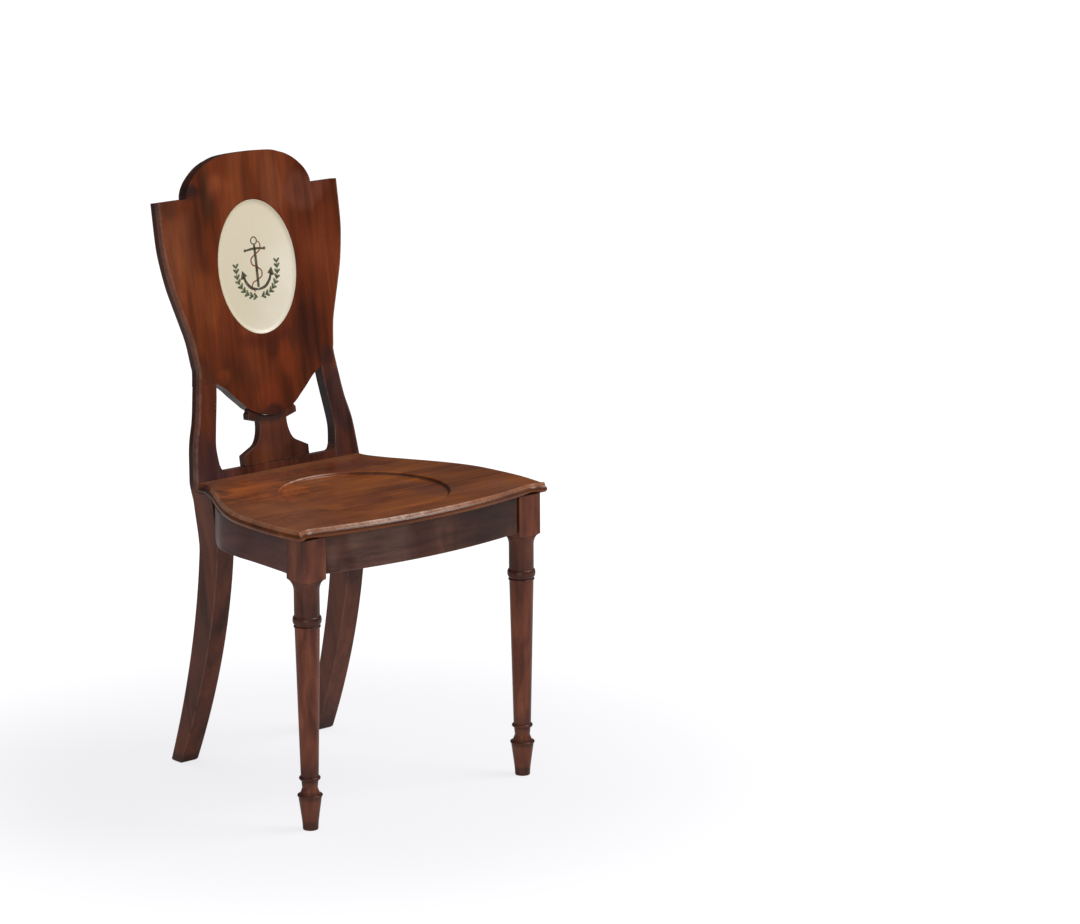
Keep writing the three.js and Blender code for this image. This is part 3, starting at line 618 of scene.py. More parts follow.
@dataclass(frozen=True)
class Mahogany:
    """A waxed mahogany finish, in screen colours."""

    name: str
    dark: Triple
    body: Triple
    light: Triple
    run: Run
    figure_width: float = 0.05
    line_strength: float = 0.25
    # How strongly arris marks draw pale wear and painted highlight.
    wear: float = 0.2
    gloss: float = 0.32
    coat: float = 0.12
    zone_strength: float = 0.85
    zone: Callable[..., Zone] = Zone.on_back
    tones: Sequence[Sequence[float]] = ()

    def material(self, grain: NodeTree, patch: NodeTree) -> Material:
        """Builds the material.

        Args:
            grain: the grain group.
            patch: the tone patch group.

        Returns:
            The material.
        """
        make = Surface(self.name)
        dark, body, light = (srgb(*tone) for tone in (self.dark, self.body, self.light))
        tint: object = WHITE
        for row in self.tones:
            zone = self.zone(*row)
            share = make.add("Group", {"Place": make.where, "Centre": zone.centre, "Reach": zone.reach},
                             node_tree=patch).outputs["Share"]
            change = tuple(wanted / own for wanted, own in zip(zone.tone, body))
            tint = make.mix(make.math("MULTIPLY", share, self.zone_strength), tint, change)
        turned = make.add("Mapping", {"Vector": make.where, "Rotation": self.run.value})
        wood = make.add("Group", {
            "Place": turned.outputs[0], "Dark": dark, "Body": body, "Light": light, "Tint": tint,
            "Figure Width": self.figure_width, "Line Strength": self.line_strength,
            "Arris": make.marked(ARRIS), "Wear": self.wear, "Grime": make.marked(DIRT_AND_SHADE),
            "Gloss": self.gloss}, node_tree=grain).outputs
        return make.polish(wood["Height"], 0.3, {
            "Base Color": wood["Color"], "Roughness": wood["Roughness"], "IOR": 1.45,
            "Specular IOR Level": 0.34, "Coat Weight": self.coat, "Coat Roughness": 0.2})


@dataclass(frozen=True)
class Plain:
    """A finish of one substance with soft clouds of a second tone, in screen colours."""

    name: str
    first: Triple
    second: Triple
    scale: float
    roughness: float = 0.5
    metallic: float = 0.0
    along: float = 1.0

    def material(self) -> Material:
        """Builds the material.

        Returns:
            The material.
        """
        make = Surface(self.name)
        cloud = make.noise(make.where, self.scale, 6.0, 0.6, self.along)
        fine = make.noise(make.where, self.scale * 7, 3.0, 0.6, self.along)
        return make.polish(fine, 0.3, {
            "Base Color": make.mix(make.ramp(cloud, 0.35, 0.65), srgb(*self.first), srgb(*self.second)),
            "Roughness": make.ramp(fine, 0.3, 0.7, self.roughness - 0.06, self.roughness + 0.08),
            "Metallic": self.metallic})


@dataclass(frozen=True)
class OvalPaint:
    """Aged cream oil paint, a little darker towards its rim and away from the light."""

    name: str = "cream_paint"
    light: Triple = srgb(242, 235, 217)
    shade: Triple = srgb(226, 216, 190)
    grime: Triple = srgb(176, 158, 122)

    def material(self) -> Material:
        """Builds the material.

        Returns:
            The material.
        """
        make = Surface(self.name)
        broad = make.noise(make.where, 9.0, 3.0, 0.5)
        brush = make.noise(make.where, 160.0, 4.0, 0.6, 0.25)
        fleck = make.noise(make.where, 700.0, 2.0, 0.5)
        lean = make.vector("DOT_PRODUCT", make.where, (5.0, 0.0, -3.0), output=1)
        paler = make.math("ADD", lean, make.math("ADD", broad, 2.1))
        colour = make.mix(make.ramp(paler, 0.2, 0.9), self.shade, self.light)
        for share, strength, tone in (
                (make.ramp(brush, 0.45, 0.75), 0.22, self.shade),
                (make.ramp(fleck, 0.66, 0.75), 0.45, self.grime), (make.marked(ARRIS), 0.35, self.grime)):
            colour = make.mix(make.math("MULTIPLY", share, strength), colour, tone)
        return make.polish(brush, 0.2, {
            "Base Color": colour, "Roughness": make.ramp(brush, 0.3, 0.7, 0.32, 0.42), "Coat Weight": 0.2,
            "Coat Roughness": 0.25})


class Palette:
    """Every finish of the chair, made once.

    Each row of tones gives the middle and the reaches of a zone, in millimetres, and its screen
    colour: the flame of the shield, with darker patches along its lower edges and at its point; the
    posts and pedestal, darkest close to the seat, with a painted shadow under the shield's point;
    the front rail, with a painted sheen left of its middle and darker to the right; and the seat,
    warmest at the back, with a painted shadow of the left post in its back corner.
    """

    shield_tones = (
        (-12, 428, 56, 62, 106, 48, 17), (44, 410, 40, 44, 112, 55, 30),
        (-76, 416, 16, 46, 78, 42, 20), (-102, 416, 18, 14, 46, 28, 26),
        (-56, 424, 20, 26, 134, 64, 32), (112, 320, 62, 120, 102, 42, 14),
        (102, 396, 38, 26, 122, 64, 42), (-136, 312, 34, 76, 112, 57, 32), (-98, 338, 14, 80, 96, 42, 16),
        (-150, 398, 30, 16, 84, 42, 24), (-112, 240, 40, 70, 122, 58, 24), (0, 190, 66, 16, 84, 30, 8),
        (-58, 150, 34, 34, 84, 36, 11), (12, 176, 16, 24, 72, 28, 8), (46, 182, 18, 26, 84, 36, 17),
        (34, 150, 18, 40, 126, 50, 12), (4, 112, 26, 26, 116, 46, 16), (76, 190, 26, 64, 76, 32, 16),
        (-108, 160, 18, 26, 98, 44, 18), (-30, 132, 20, 20, 92, 38, 12), (-84, 146, 16, 12, 124, 54, 12),
        (0, 80, 40, 14, 62, 28, 20), (-114, 146, 34, 26, 86, 40, 18), (112, 146, 34, 26, 62, 33, 27))
    post_tones = (
        (-114, 118, 34, 66, 96, 42, 19), (-128, 14, 60, 46, 64, 37, 40), (120, 90, 50, 110, 56, 30, 29),
        # The first row here is a painted shadow that the shield's point casts on the pedestal.
        (0, 76, 60, 12, 46, 30, 28), (-8, 50, 40, 20, 84, 40, 26), (-28, 16, 30, 14, 94, 44, 20),
        (40, 18, 36, 18, 74, 36, 22))
    rail_tones = (
        # The first row is a painted sheen; the last darkens the right end.
        (-90, 392, 100, 60, 110, 76, 66), (24, 396, 60, 40, 112, 70, 54), (120, 394, 120, 80, 64, 33, 18))
    seat_tones = (
        (-112, 226, 92, 70, 178, 92, 34), (-40, 272, 70, 24, 162, 80, 30),
        (-170, 92, 36, 70, 144, 78, 36), (-60, 116, 52, 40, 122, 62, 32),
        (90, 76, 40, 60, 122, 68, 42), (-20, 76, 50, 24, 112, 56, 30),
        (-60, 0, 90, 22, 150, 78, 38), (150, 0, 50, 60, 128, 72, 44), (96, 246, 70, 34, 118, 54, 28),
        # This row is a painted shadow of the left post on the seat's back corner.
        (-170, 284, 52, 56, 62, 36, 32))

    def __init__(self) -> None:
        """Builds the shared groups and the materials."""
        groups = timber_group(), patch_group()
        self.shield = Mahogany(
            "flame_mahogany", (74, 29, 8), (102, 42, 12), (124, 54, 16), Run.UP_BACK, figure_width=0.06,
            line_strength=0.15, wear=0.17, gloss=0.3, tones=self.shield_tones).material(*groups)
        self.post = Mahogany("post_mahogany", (62, 29, 17), (92, 46, 30), (112, 60, 39), Run.UP_BACK,
                             line_strength=0.2, wear=0.19, tones=self.post_tones).material(*groups)
        self.seat = Mahogany(
            "seat_mahogany", (104, 51, 20), (134, 71, 29), (158, 88, 37), Run.ACROSS, figure_width=0.06,
            wear=1.0, gloss=0.3, zone=Zone.on_seat, tones=self.seat_tones).material(*groups)
        self.rail = Mahogany("rail_mahogany", (58, 28, 20), (86, 46, 35), (104, 60, 44), Run.ACROSS,
                             zone=Zone.on_rail, tones=self.rail_tones).material(*groups)
        self.side = Mahogany("side_mahogany", (62, 33, 28), (92, 52, 45), (110, 66, 54),
                             Run.ALONG).material(*groups)
        self.leg = Mahogany("leg_mahogany", (82, 40, 26), (114, 59, 39), (134, 76, 50), Run.UP,
                            figure_width=0.02).material(*groups)
        self.ink = Plain("dark_paint", (58, 54, 42), (104, 92, 68), 300).material()
        self.leaf = Plain("green_paint", (62, 80, 52), (112, 118, 82), 300).material()
        self.cord = Plain("red_paint", (120, 62, 46), (150, 92, 66), 300).material()
        self.hidden = Plain("bare_wood", (140, 104, 70), (110, 78, 50), 60, 0.7, along=0.2).material()
        self.iron = Plain("dull_iron", (96, 90, 84), (60, 54, 50), 400, metallic=0.9).material()
        self.paint = OvalPaint().material()


@dataclass
class Seat:
    """The seat board, with its moulded edge and round dish. Sizes in millimetres."""

    palette: Palette
    half_width: float = 231
    ear_half: float = 224.5
    ear_lead: float = 25
    notch_half: float = 198
    notch_lead: float = 19
    bow_lead: float = 44
    dish_radius: float = 122
    dish_depth: float = 5
    dish_back: float = 113
    dish_lip: float = 1.2
    dish_wall: float = 4.2
    dish_sag: float = 0.15
    darker_from: float = 128
    moulding: Line = (
        (7.6, 0), (5.6, -0.05), (4.9, -0.25), (4.2, -0.9), (3.6, -1.9), (3.1, -3.1), (2.5, -4.2),
        (1.7, -5.2), (0.9, -6.1), (0.3, -7.2), (0, -8.6), (0.1, -10), (0.6, -11.4), (1.5, -12.6),
        (2.8, -13.5), (4.4, -14))
    side_shares: Line = (
        (0, 0), (0.02, 0.06), (0.18, 0.154), (0.354, 0.231), (0.665, 0.374), (0.876, 0.506),
        (0.963, 0.625), (1, 0.823))

    def outline(self) -> list[Pair]:
        """Draws the plan.

        Returns:
            Its right half, from the middle of the front to the back corner.
        """
        front = bow(self.notch_half, self.bow_lead - self.notch_lead, -self.bow_lead)
        notch, third = self.notch_half, (self.ear_half - self.notch_half) / 3
        ear = (self.ear_half, -self.ear_lead)
        ogee = smooth([(notch, -self.notch_lead), (notch + third, -self.notch_lead),
                       (notch + 2 * third, -(self.ear_lead * 2 + self.notch_lead) / 3), ear], 12)
        side = smooth([*spread(self.side_shares, (CHAIR.back_half, self.half_width),
                               (CHAIR.leg_to_back, -self.ear_lead)), ear], 64)
        return [*front, *ogee[1:], *reversed(side[:-1])]

    def inset(self, plan: list[Pair], reach: float, height: float) -> list[Vector]:
        """Draws the plan again a little smaller, except along the back.

        Args:
            plan: the right half of the plan.
            reach: how far inside the plan the line lies.
            height: its height.

        Returns:
            The whole line's points in the chair's frame.
        """
        depth = CHAIR.face_depth(height) - CHAIR.gap
        beyond = [(-plan[1][0], plan[1][1]), *plan, (plan[-1][0], plan[-1][1] + 1)]
        half = []
        for before, here, after in zip(beyond, plan, beyond[2:]):
            one = Vector((here[0] - before[0], here[1] - before[1])).normalized()
            two = Vector((after[0] - here[0], after[1] - here[1])).normalized()
            lean = (one + two).normalized()
            longer = min(1 / max(lean.dot(two), 0.5), 1.4)
            moved = Vector(here) + Vector((-lean.y, lean.x)) * reach * longer
            half.append((max(moved.x, 0), moved.y))
        half[0], half[-1] = (0.0, half[0][1]), (plan[-1][0] - reach, depth)
        points = CHAIR.level([(min(x, self.half_width), min(y, depth)) for x, y in half], height)
        return [*points, *mirrored(reversed(points[1:]))]

    def dish(self, work: Workpiece) -> list[BMEdge]:
        """Turns the dish.

        Args:
            work: the board on the bench.

        Returns:
            The edges of the dish's rim.
        """
        lip, wall, floor = self.dish_lip, self.dish_wall, self.dish_radius - self.dish_wall
        profile = [*arc((self.dish_radius + lip, -lip), (lip, lip), 90, 170, 4),
                   *arc((floor - 0.4, -self.dish_depth + wall), (wall, wall), -8, -90, 8),
                   *[(floor - inside, -self.dish_depth - self.dish_sag) for inside in (40, 80)]]
        rings = [CHAIR.level(ellipse(self.dish_back, radius, radius), CHAIR.seat_height + drop)
                 for radius, drop in profile]
        rim = work.ring(rings[0])
        work.close(work.draw(rim, *rings[1:]))
        return rim

    def in_dish(self, place: Vector, more: float = 0.0) -> bool:
        """Says whether a place lies in the dish, or not far outside it."""
        depth = place.y + CHAIR.middle_depth - self.dish_back
        return math.hypot(place.x, depth) < self.dish_radius + more

    def worn_and_highlit(self, place: Vector, normal: Vector) -> float:
        """Gives wear and a painted highlight on the board's rim, strongest left of the middle, and a
        painted highlight on the dish's back lip.
        """
        drop, depth = CHAIR.seat_height - place.z, place.y + CHAIR.middle_depth
        return pick((math.exp(-((place.x + 30) / 45) ** 2),
                     self.in_dish(place, 2) and depth > self.dish_back + 60 and 0.02 < drop < 1.6),
                    (0.0, self.in_dish(place, 2) or not 0.03 < drop < 4.5),
                    (0.2 + 0.8 * math.exp(-((place.x + 60) / 95) ** 2), depth < 60), (0.35, depth < 270))

    def darkening(self, place: Vector, normal: Vector) -> float:
        """Gives the painted shade in the dish's right side, lightly over the rest of the dish, on the
        underside, along the back and in the moulding's hollow and below it.
        """
        drop, dished = CHAIR.seat_height - place.z, self.in_dish(place)
        return pick((0.85, dished and 0.5 < drop < self.dish_depth - 0.1 and place.x > 60), (0.1, dished),
                    (0.3, normal.z < -0.9), (0.15, place.y > self.darker_from),
                    (0.75, 5 < drop < 9), (0.3, drop >= 9))

    def build(self) -> None:
        """Makes the board."""
        work = Workpiece("seat_board_dished")
        plan = self.outline()
        rings = [self.inset(plan, reach, CHAIR.seat_height + drop) for reach, drop in self.moulding]
        rim = work.ring(rings[0])
        work.close(work.draw(rim, *rings[1:]))
        bmesh.ops.triangle_fill(work.mesh, use_beauty=True, edges=[*rim, *self.dish(work)],
                                normal=(0, 0, 1))
        work.mark(work.grime, self.darkening)
        work.mark(work.arris, self.worn_and_highlit)
        work.finish(self.palette.seat, "seat_wood", "seat_board")


@dataclass
class FrontLegs:
    """The two turned front legs, each with its square block. Sizes in millimetres."""

    palette: Palette
    axis_x: float = 196
    pommel: float = 17
    neck: float = 18
    ring_height: float = 303
    ring_radius: float = 20.4
    ring_half: float = 6
    bead_radius: float = 19
    bead_half: float = 1.6
    shaft_top: float = 17.6
    shaft_bottom: float = 12.6
    ankle_height: float = 75
    ankle_radius: float = 15.2
    ankle_half: float = 2.6
    cove: float = 11.3
    collar_height: float = 50
    collar_radius: float = 17.9
    collar_half: float = 1.6
    foot_waist: float = 12
    foot_radius: float = 11
    arris: float = 0.9

    @staticmethod
    def ring(height: float, radius: float, half: float, base: float) -> list[Pair]:
        """Draws a rounded ring that stands out of a base radius."""
        return arc((base, height), (radius - base, half), -90, 90, 10)

    def profile(self) -> list[Pair]:
        """Draws the turning.

        Returns:
            Its radii and heights, from the floor up past the block.
        """
        collar_base = self.collar_radius - self.collar_half
        collar_top = self.collar_height + self.collar_half
        ankle_foot = self.ankle_height - self.ankle_half
        rise = (ankle_foot - collar_top) / 5
        bead_height = self.ring_height - self.ring_half - 2 * self.bead_half
        corner, foot = CHAIR.block_half * math.sqrt(2), CHAIR.block_bottom - self.pommel
        return [
            (0, 0), (self.foot_radius - 1.5, 0), (self.foot_radius - 0.4, 0.4), (self.foot_radius, 1.5),
            *smooth([(self.foot_radius, 3), (self.foot_waist, 15),
                     (collar_base, self.collar_height - 3.2)], 10),
            *self.ring(self.collar_height, self.collar_radius, self.collar_half, collar_base),
            *smooth([(collar_base - 1.6, collar_top), (self.cove, collar_top + 2 * rise),
                     (self.cove, collar_top + 3 * rise), (self.cove + 0.8, ankle_foot)], 10),
            *self.ring(self.ankle_height, self.ankle_radius, self.ankle_half, self.shaft_bottom),
            *spread([(k / 8, k / 8) for k in range(1, 8)], (self.shaft_bottom, self.shaft_top),
                    (self.ankle_height + self.ankle_half, bead_height - self.bead_half)),
            *self.ring(bead_height, self.bead_radius, self.bead_half, self.shaft_top),
            *self.ring(self.ring_height, self.ring_radius, self.ring_half, self.neck),
            *arc((corner, foot), (corner - self.neck, self.pommel), 180, 90, 12),
            (corner, CHAIR.board_bottom), (0, CHAIR.board_bottom)]

    def darkening(self, place: Vector, normal: Vector) -> float:
        """Gives the painted shade under the seat, beside the rings and at the neck under the block, and
        darkens the foot.
        """
        spans = ((self.ring_height, 9), (self.ankle_height, 6), (self.collar_height, 6), (0, 12))
        return pick((0.35, place.z > CHAIR.board_bottom - 8), (0.0, place.z > CHAIR.block_bottom),
                    (0.75, any(abs(place.z - height) < reach for height, reach in spans)),
                    (0.5, abs(place.z - CHAIR.block_bottom + self.pommel) < 16),
                    (0.3, place.z < self.ankle_height))

    def build(self) -> None:
        """Makes both legs."""
        half, top = CHAIR.block_half * MM, CHAIR.block_bottom * MM - 0.0001
        foot = (CHAIR.block_bottom - self.pommel - 0.01) * MM
        for side in Side:
            work = Workpiece(f"{side.word}_front_leg_turned")
            verts = [work.mesh.verts.new((r * MM, 0, z * MM)) for r, z in self.profile()]
            edges = [work.mesh.edges.new(pair) for pair in zip(verts, verts[1:])]
            bmesh.ops.spin(work.mesh, geom=[*verts, *edges], cent=(0, 0, 0), axis=(0, 0, 1),
                           angle=2 * math.pi, steps=64, use_merge=True)
            for vert in work.mesh.verts:
                if vert.co.z > foot:
                    vert.co.xy = (min(max(c, -half), half) for c in vert.co.xy)
            work.merge()
            work.soften(self.arris, 2, 40, lambda edge: all(v.co.z > top for v in edge.verts))
            work.mark(work.grime, self.darkening)
            bmesh.ops.translate(work.mesh, verts=work.mesh.verts[:],
                                vec=CHAIR.place(self.axis_x * side.value, 0, 0))
            work.finish(self.palette.leg, "frame_wood", f"{side.word}_front_leg")


@dataclass
class Rails:
    """The rails under the board. Sizes in millimetres."""

    palette: Palette
    block_inner: float = 176.5
    front_thickness: float = 24
    front_proud: float = 0.5
    front_bow: float = 17
    front_sink: float = 5
    front_return: float = 14
    side_front_outer: float = 214.5
    side_thickness: float = 23
    side_end_width: float = 24
    post_front: float = 280.53
    outer_shares: Line = (
        (1, 0), (0.97, 0.085), (0.925, 0.314), (0.912, 0.465), (0.824, 0.64), (0.66, 0.743),
        (0.496, 0.823), (0.245, 0.914), (0, 1))
    inner_shares: Line = (
        (1, 0), (0.96, 0.2), (0.93, 0.4), (0.84, 0.55), (0.62, 0.72), (0.3, 0.88), (0, 1))
    rear_fillet: float = 8.5
    arris: float = 1.0
    rear_arris: float = 0.8

    def front(self) -> None:
        """Makes the bowed front rail."""
        end = self.block_inner - CHAIR.gap
        shoulder = end - self.front_return
        sunk = self.front_sink - CHAIR.block_half
        face = -CHAIR.block_half - self.front_proud
        half = [*bow(shoulder, self.front_bow, face - self.front_bow),
                *arc((shoulder, sunk), (self.front_return, sunk - face), -90, 0, 10)[1:],
                (end, face + self.front_thickness), (0, face + self.front_thickness)]
        work = Workpiece("front_rail_bowed")
        work.loft([CHAIR.level(whole(half), z) for z in (CHAIR.rail_bottom, CHAIR.board_bottom)])
        work.soften(self.arris)
        # Painted shade just under the board, and darker towards the right.
        work.mark(work.grime, lambda place, normal: 0.6 if place.z > CHAIR.board_bottom - 6
                  else 0.3 * max(0.0, place.x / self.block_inner))
        work.finish(self.palette.rail, "frame_wood", "front_rail")

    def sides(self) -> None:
        """Makes the two side rails, which sweep in to the posts."""
        ends = (CHAIR.block_half + CHAIR.gap, self.post_front - CHAIR.gap)
        outer = smooth(spread(self.outer_shares, (CHAIR.post_outer, self.side_front_outer), ends), 64)
        inner = smooth(spread(self.inner_shares, (CHAIR.post_outer - self.side_end_width,
                                                  self.side_front_outer - self.side_thickness), ends), 36)
        for side in Side:
            plan = [(x * side.value, y) for x, y in [*outer, *reversed(inner)]]
            work = Workpiece(f"{side.word}_side_rail_swept")
            work.loft([CHAIR.level(plan, z) for z in (CHAIR.rail_bottom, CHAIR.board_bottom)])
            work.soften(self.arris)
            # Painted shade just under the board, and a little darker elsewhere.
            work.mark(work.grime, lambda place, normal: 0.6 if place.z > CHAIR.board_bottom - 6 else 0.15)
            work.finish(self.palette.side, "frame_wood", f"{side.word}_side_rail")

    def rear(self) -> None:
        """Makes the rear rail, whose upper edge is filleted into the posts."""
        end = CHAIR.post_inner - CHAIR.gap
        low = -(CHAIR.seat_height - CHAIR.rail_bottom) / CHAIR.cosine
        fillet, rise = self.rear_fillet, CHAIR.rear_rise
        half = [(0, low), (end, low), *arc((end - fillet, rise + fillet), (fillet, fillet), 0, -90, 10),
                (0, rise)]
        work = Workpiece("rear_rail_filleted")
        work.loft([CHAIR.raked(whole(half), t) for t in (0, CHAIR.back_thickness)])
        work.soften(self.rear_arris)
        work.finish(self.palette.post, "frame_wood", "rear_rail")

    def build(self) -> None:
        """Makes all four rails."""
        self.front()
        self.sides()
        self.rear()


class Painting(Workpiece):
    """Brush strokes on the oval, each a very thin layer of paint. Sizes in millimetres."""

    field_depth: float = 2.5
    layer: float = 0.14

    def __init__(self, name: str, middle: float) -> None:
        """Starts a painting round the oval's centre, at its height up the back."""
        super().__init__(f"painted_{name}")
        self.middle = middle

    def shape(self, outline: Line) -> None:
        """Lays one filled shape, given from the oval's centre."""
        raised, ground = [(x, self.middle + y) for x, y in outline], self.field_depth
        self.loft([CHAIR.raked(raised, depth) for depth in (ground, ground - self.layer)])

    def stroke(self, points: Line, wide: float, ends: float = 0.25) -> None:
        """Draws one brush stroke that thins towards its ends.

        Args:
            points: the points of its middle.
            wide: its greatest width.
            ends: its width at the ends, as a share of the greatest.
        """
        run = smooth(points, 6 * (len(points) - 1))
        left, right = [], []
        for i, (x, y) in enumerate(run):
            before, after = run[max(i - 1, 0)], run[min(i + 1, len(run) - 1)]
            way = Vector((after[0] - before[0], after[1] - before[1])).normalized()
            half = wide / 2 * (ends + (1 - ends) * math.sin(math.pi * i / (len(run) - 1)) ** 0.6)
            left.append((x - way.y * half, y + way.x * half))
            right.append((x + way.y * half, y - way.x * half))
        self.shape([*left, *reversed(right)])

    def anchor(self) -> None:
        """Paints the anchor: ring, stock, shank, arms and flukes."""
        for start in (0, 120, 240):
            self.stroke(arc((0, 38), (5.2, 5.2), start, start + 118, 6), 1.8, 0.9)
        self.stroke([(0, 32), (0.3, 10), (0.2, -12), (0, -30)], 4.6, 0.75)
        self.stroke([(-16, 25), (0, 26.5), (16, 25)], 3.6, 0.6)
        for side in (-1, 1):
            self.stroke([(0, -33), (side * 12, -30), (side * 21, -21), (side * 25, -9)], 4.6, 0.45)
            fluke = (26.5, -3), (18.5, -11), (22, -13), (25, -16), (30.5, -15)
            self.shape([(side * x, y) for x, y in fluke])
            self.shape(arc((side * 17.5, 25), (2.3, 2.3), 0, 330, 11))

    def cord(self) -> None:
        """Paints the cord that winds round the shank."""
        self.stroke([(4, 38), (10, 33), (9, 24), (0, 18), (-8, 12), (-7, 4), (0, 0), (8, -6), (8, -14),
                     (0, -19), (-8, -22), (-11, -28), (-6, -36)], 2.2, 0.6)

    def sprigs(self) -> None:
        """Paints the two sprigs with their leaves."""
        for side in (-1, 1):
            stem = smooth([(side * 2, -44), (side * 22, -37), (side * 35, -18), (side * 37, 4)], 18)
            self.stroke(stem[::6], 1.3, 0.5)
            for i in range(1, 18, 2):
                (x, y), (u, v) = stem[i], stem[i + 1]
                way = Vector((u - x, v - y)).normalized()
                for turn in (-1, 1):
                    out = Vector((way.x * 0.75 - turn * way.y * 0.6, way.y * 0.75 + turn * way.x * 0.6))
                    tip = (x + out.x * 8.5, y + out.y * 8.5)
                    middle = ((x + tip[0]) / 2 + way.x, (y + tip[1]) / 2 + way.y)
                    self.stroke([(x, y), middle, tip], 3.4, 0.15)


@dataclass
class Back:
    """The back: its posts, shield, pedestal and painted oval. Sizes in millimetres."""

    palette: Palette
    bracket_drop: float = 95
    swell: float = 3.2
    depth: float = 44
    knee_drop: float = 25
    sweep: float = 75
    power: float = 1.8
    foot_depth: float = 24.5
    foot_outer: float = 143
    foot_round: float = 4
    foot_inner: float = 112
    top_height: float = 137
    top_inner: float = 95.5
    waist_half: float = 124
    waist_height: float = 155
    shoulder_half: float = 163
    shoulder_height: float = 405.3
    arch_half: float = 112.5
    arch_heel: float = 4
    arch_rise: float = 52.9
    point_height: float = 78
    oval: Pair = (70.5, 98)
    oval_height: float = 294.5
    oval_recess: float = 6
    base_half: float = 59.3
    base_rise: float = 15.5
    cove_half: float = 43
    cove_rise: float = 23.5
    neck_half: float = 24.8
    neck_height: float = 71
    cap_half: float = 44
    cap_height: float = 76.5
    cap_edge: float = 8
    cap_step: float = 3
    set_back: float = 3
    pedestal_thickness: float = 13
    front_arris: float = 4.2
    post_arris: float = 1.4
    shield_arris: float = 1.2
    pedestal_arris: float = 0.9
    foot_beyond: float = 20
    joint_gap: float = 0.02
    pale_width: float = 8
    band: Pair = (7.5, 9.5)
    outer_shares: Line = ((1, 0), (0.94, 0.1), (0.755, 0.35), (0.41, 0.568), (0.19, 0.78))
    side_shares: Line = (
        (0, 0), (0.03, 0.05), (0.146, 0.18), (0.34, 0.288), (0.567, 0.404), (0.77, 0.517), (0.93, 0.657),
        (0.995, 0.773), (1, 1))
    bracket_shares: Line = (
        (0, 0), (0.07, 0.06), (0.19, 0.2), (0.36, 0.36), (0.53, 0.52), (0.66, 0.66), (0.8, 0.79),
        (0.94, 0.9))
    swell_shares: Line = (
        (0, 0.145), (0.75, 0.25), (1, 0.36), (0.7, 0.52), (0.25, 0.7), (0, 0.872), (0, 1))
    taper_shares: Sequence[float] = (0, 0.05, 0.07, 0.27, 0.53, 0.82, 1)
    edge_shares: Line = (
        (0, 0), (0.21, 0.06), (0.424, 0.212), (0.565, 0.407), (0.691, 0.59), (0.827, 0.802), (1, 1))
    arch_shares: Line = (
        (1, 0), (0.969, 0.183), (0.898, 0.401), (0.773, 0.641), (0.649, 0.796), (0.551, 0.873),
        (0.418, 0.955), (0.222, 0.992), (0, 1))
    cove_shares: Line = ((1, 0), (0.62, 0.1), (0.34, 0.26), (0.12, 0.52), (0.02, 0.78), (0, 1))
    cove_profile: Line = (
        (0, 5.6), (0, 0.5), (0.35, 0.1), (0.9, 0.05), (1.6, 0.45), (2.6, 1.1), (4, 1.75), (5.6, 2.2),
        (7.2, 2.45), (9, 2.5))

    def outer_edge(self) -> list[Pair]:
        """Draws the back's outer edge from the seat to the shoulder."""
        return smooth([
            *spread(self.outer_shares, (self.waist_half, CHAIR.back_half), (0, self.waist_height)),
            *spread(self.side_shares, (self.waist_half, self.shoulder_half),
                    (self.waist_height, self.shoulder_height))], 120)

    def lower_edge(self) -> list[Pair]:
        """Draws the shield's lower edge from its point outward."""
        return smooth(spread(self.edge_shares, (0, self.top_inner),
                             (self.point_height, self.top_height)), 40)

    def lean(self, height: float, drop: float, above: float, foot: float) -> float:
        """Gives the x of a leg's straight edge, from its end at a drop below the seat to its foot."""
        return above + (foot - above) * ((height + drop) / (drop - CHAIR.seat_height - self.foot_beyond))

    def post_outer(self, height: float) -> float:
        """Finds the post's outer edge.

        Args:
            height: the height on the raked back, negative below the seat.

        Returns:
            Its distance from the middle line.
        """
        if height >= 0:
            return crossing(self.outer_edge(), height)
        if height > -self.bracket_drop:
            bracket = spread(self.bracket_shares, (CHAIR.post_outer, CHAIR.back_half),
                             (-self.bracket_drop, 0))
            return crossing(smooth([*bracket, (CHAIR.back_half, 0)], 28), height)
        return self.lean(height, self.bracket_drop, CHAIR.post_outer, self.foot_outer)

    def post_inner(self, height: float) -> float:
        """Finds the post's inner edge.

        Args:
            height: the height on the raked back, negative below the seat.

        Returns:
            Its distance from the middle line.
        """
        if height >= self.top_height * self.swell_shares[0][1]:
            run = [(CHAIR.post_inner + self.swell * s - (CHAIR.post_inner - self.top_inner) * taper,
                    self.top_height * a) for (s, a), taper in zip(self.swell_shares, self.taper_shares)]
            return crossing(smooth(run, 36), height)
        if height > -self.knee_drop:
            return CHAIR.post_inner
        return self.lean(height, self.knee_drop, CHAIR.post_inner, self.foot_inner)

    def post_depths(self, height: float) -> Pair:
        """Finds the post's front and back.

        Args:
            height: the height above the floor.

        Returns:
            Their work depths.
        """
        thick = CHAIR.back_thickness / CHAIR.cosine
        back = CHAIR.face_depth(CHAIR.seat_height - self.knee_drop) + thick
        front = back - self.depth
        if height <= CHAIR.rail_bottom:
            share = (1 - height / CHAIR.rail_bottom) ** self.power
            return front + (self.sweep + self.depth - self.foot_depth) * share, back + self.sweep * share
        face = CHAIR.face_depth(height)
        return (front if height <= CHAIR.board_bottom else face), max(back, face + thick)

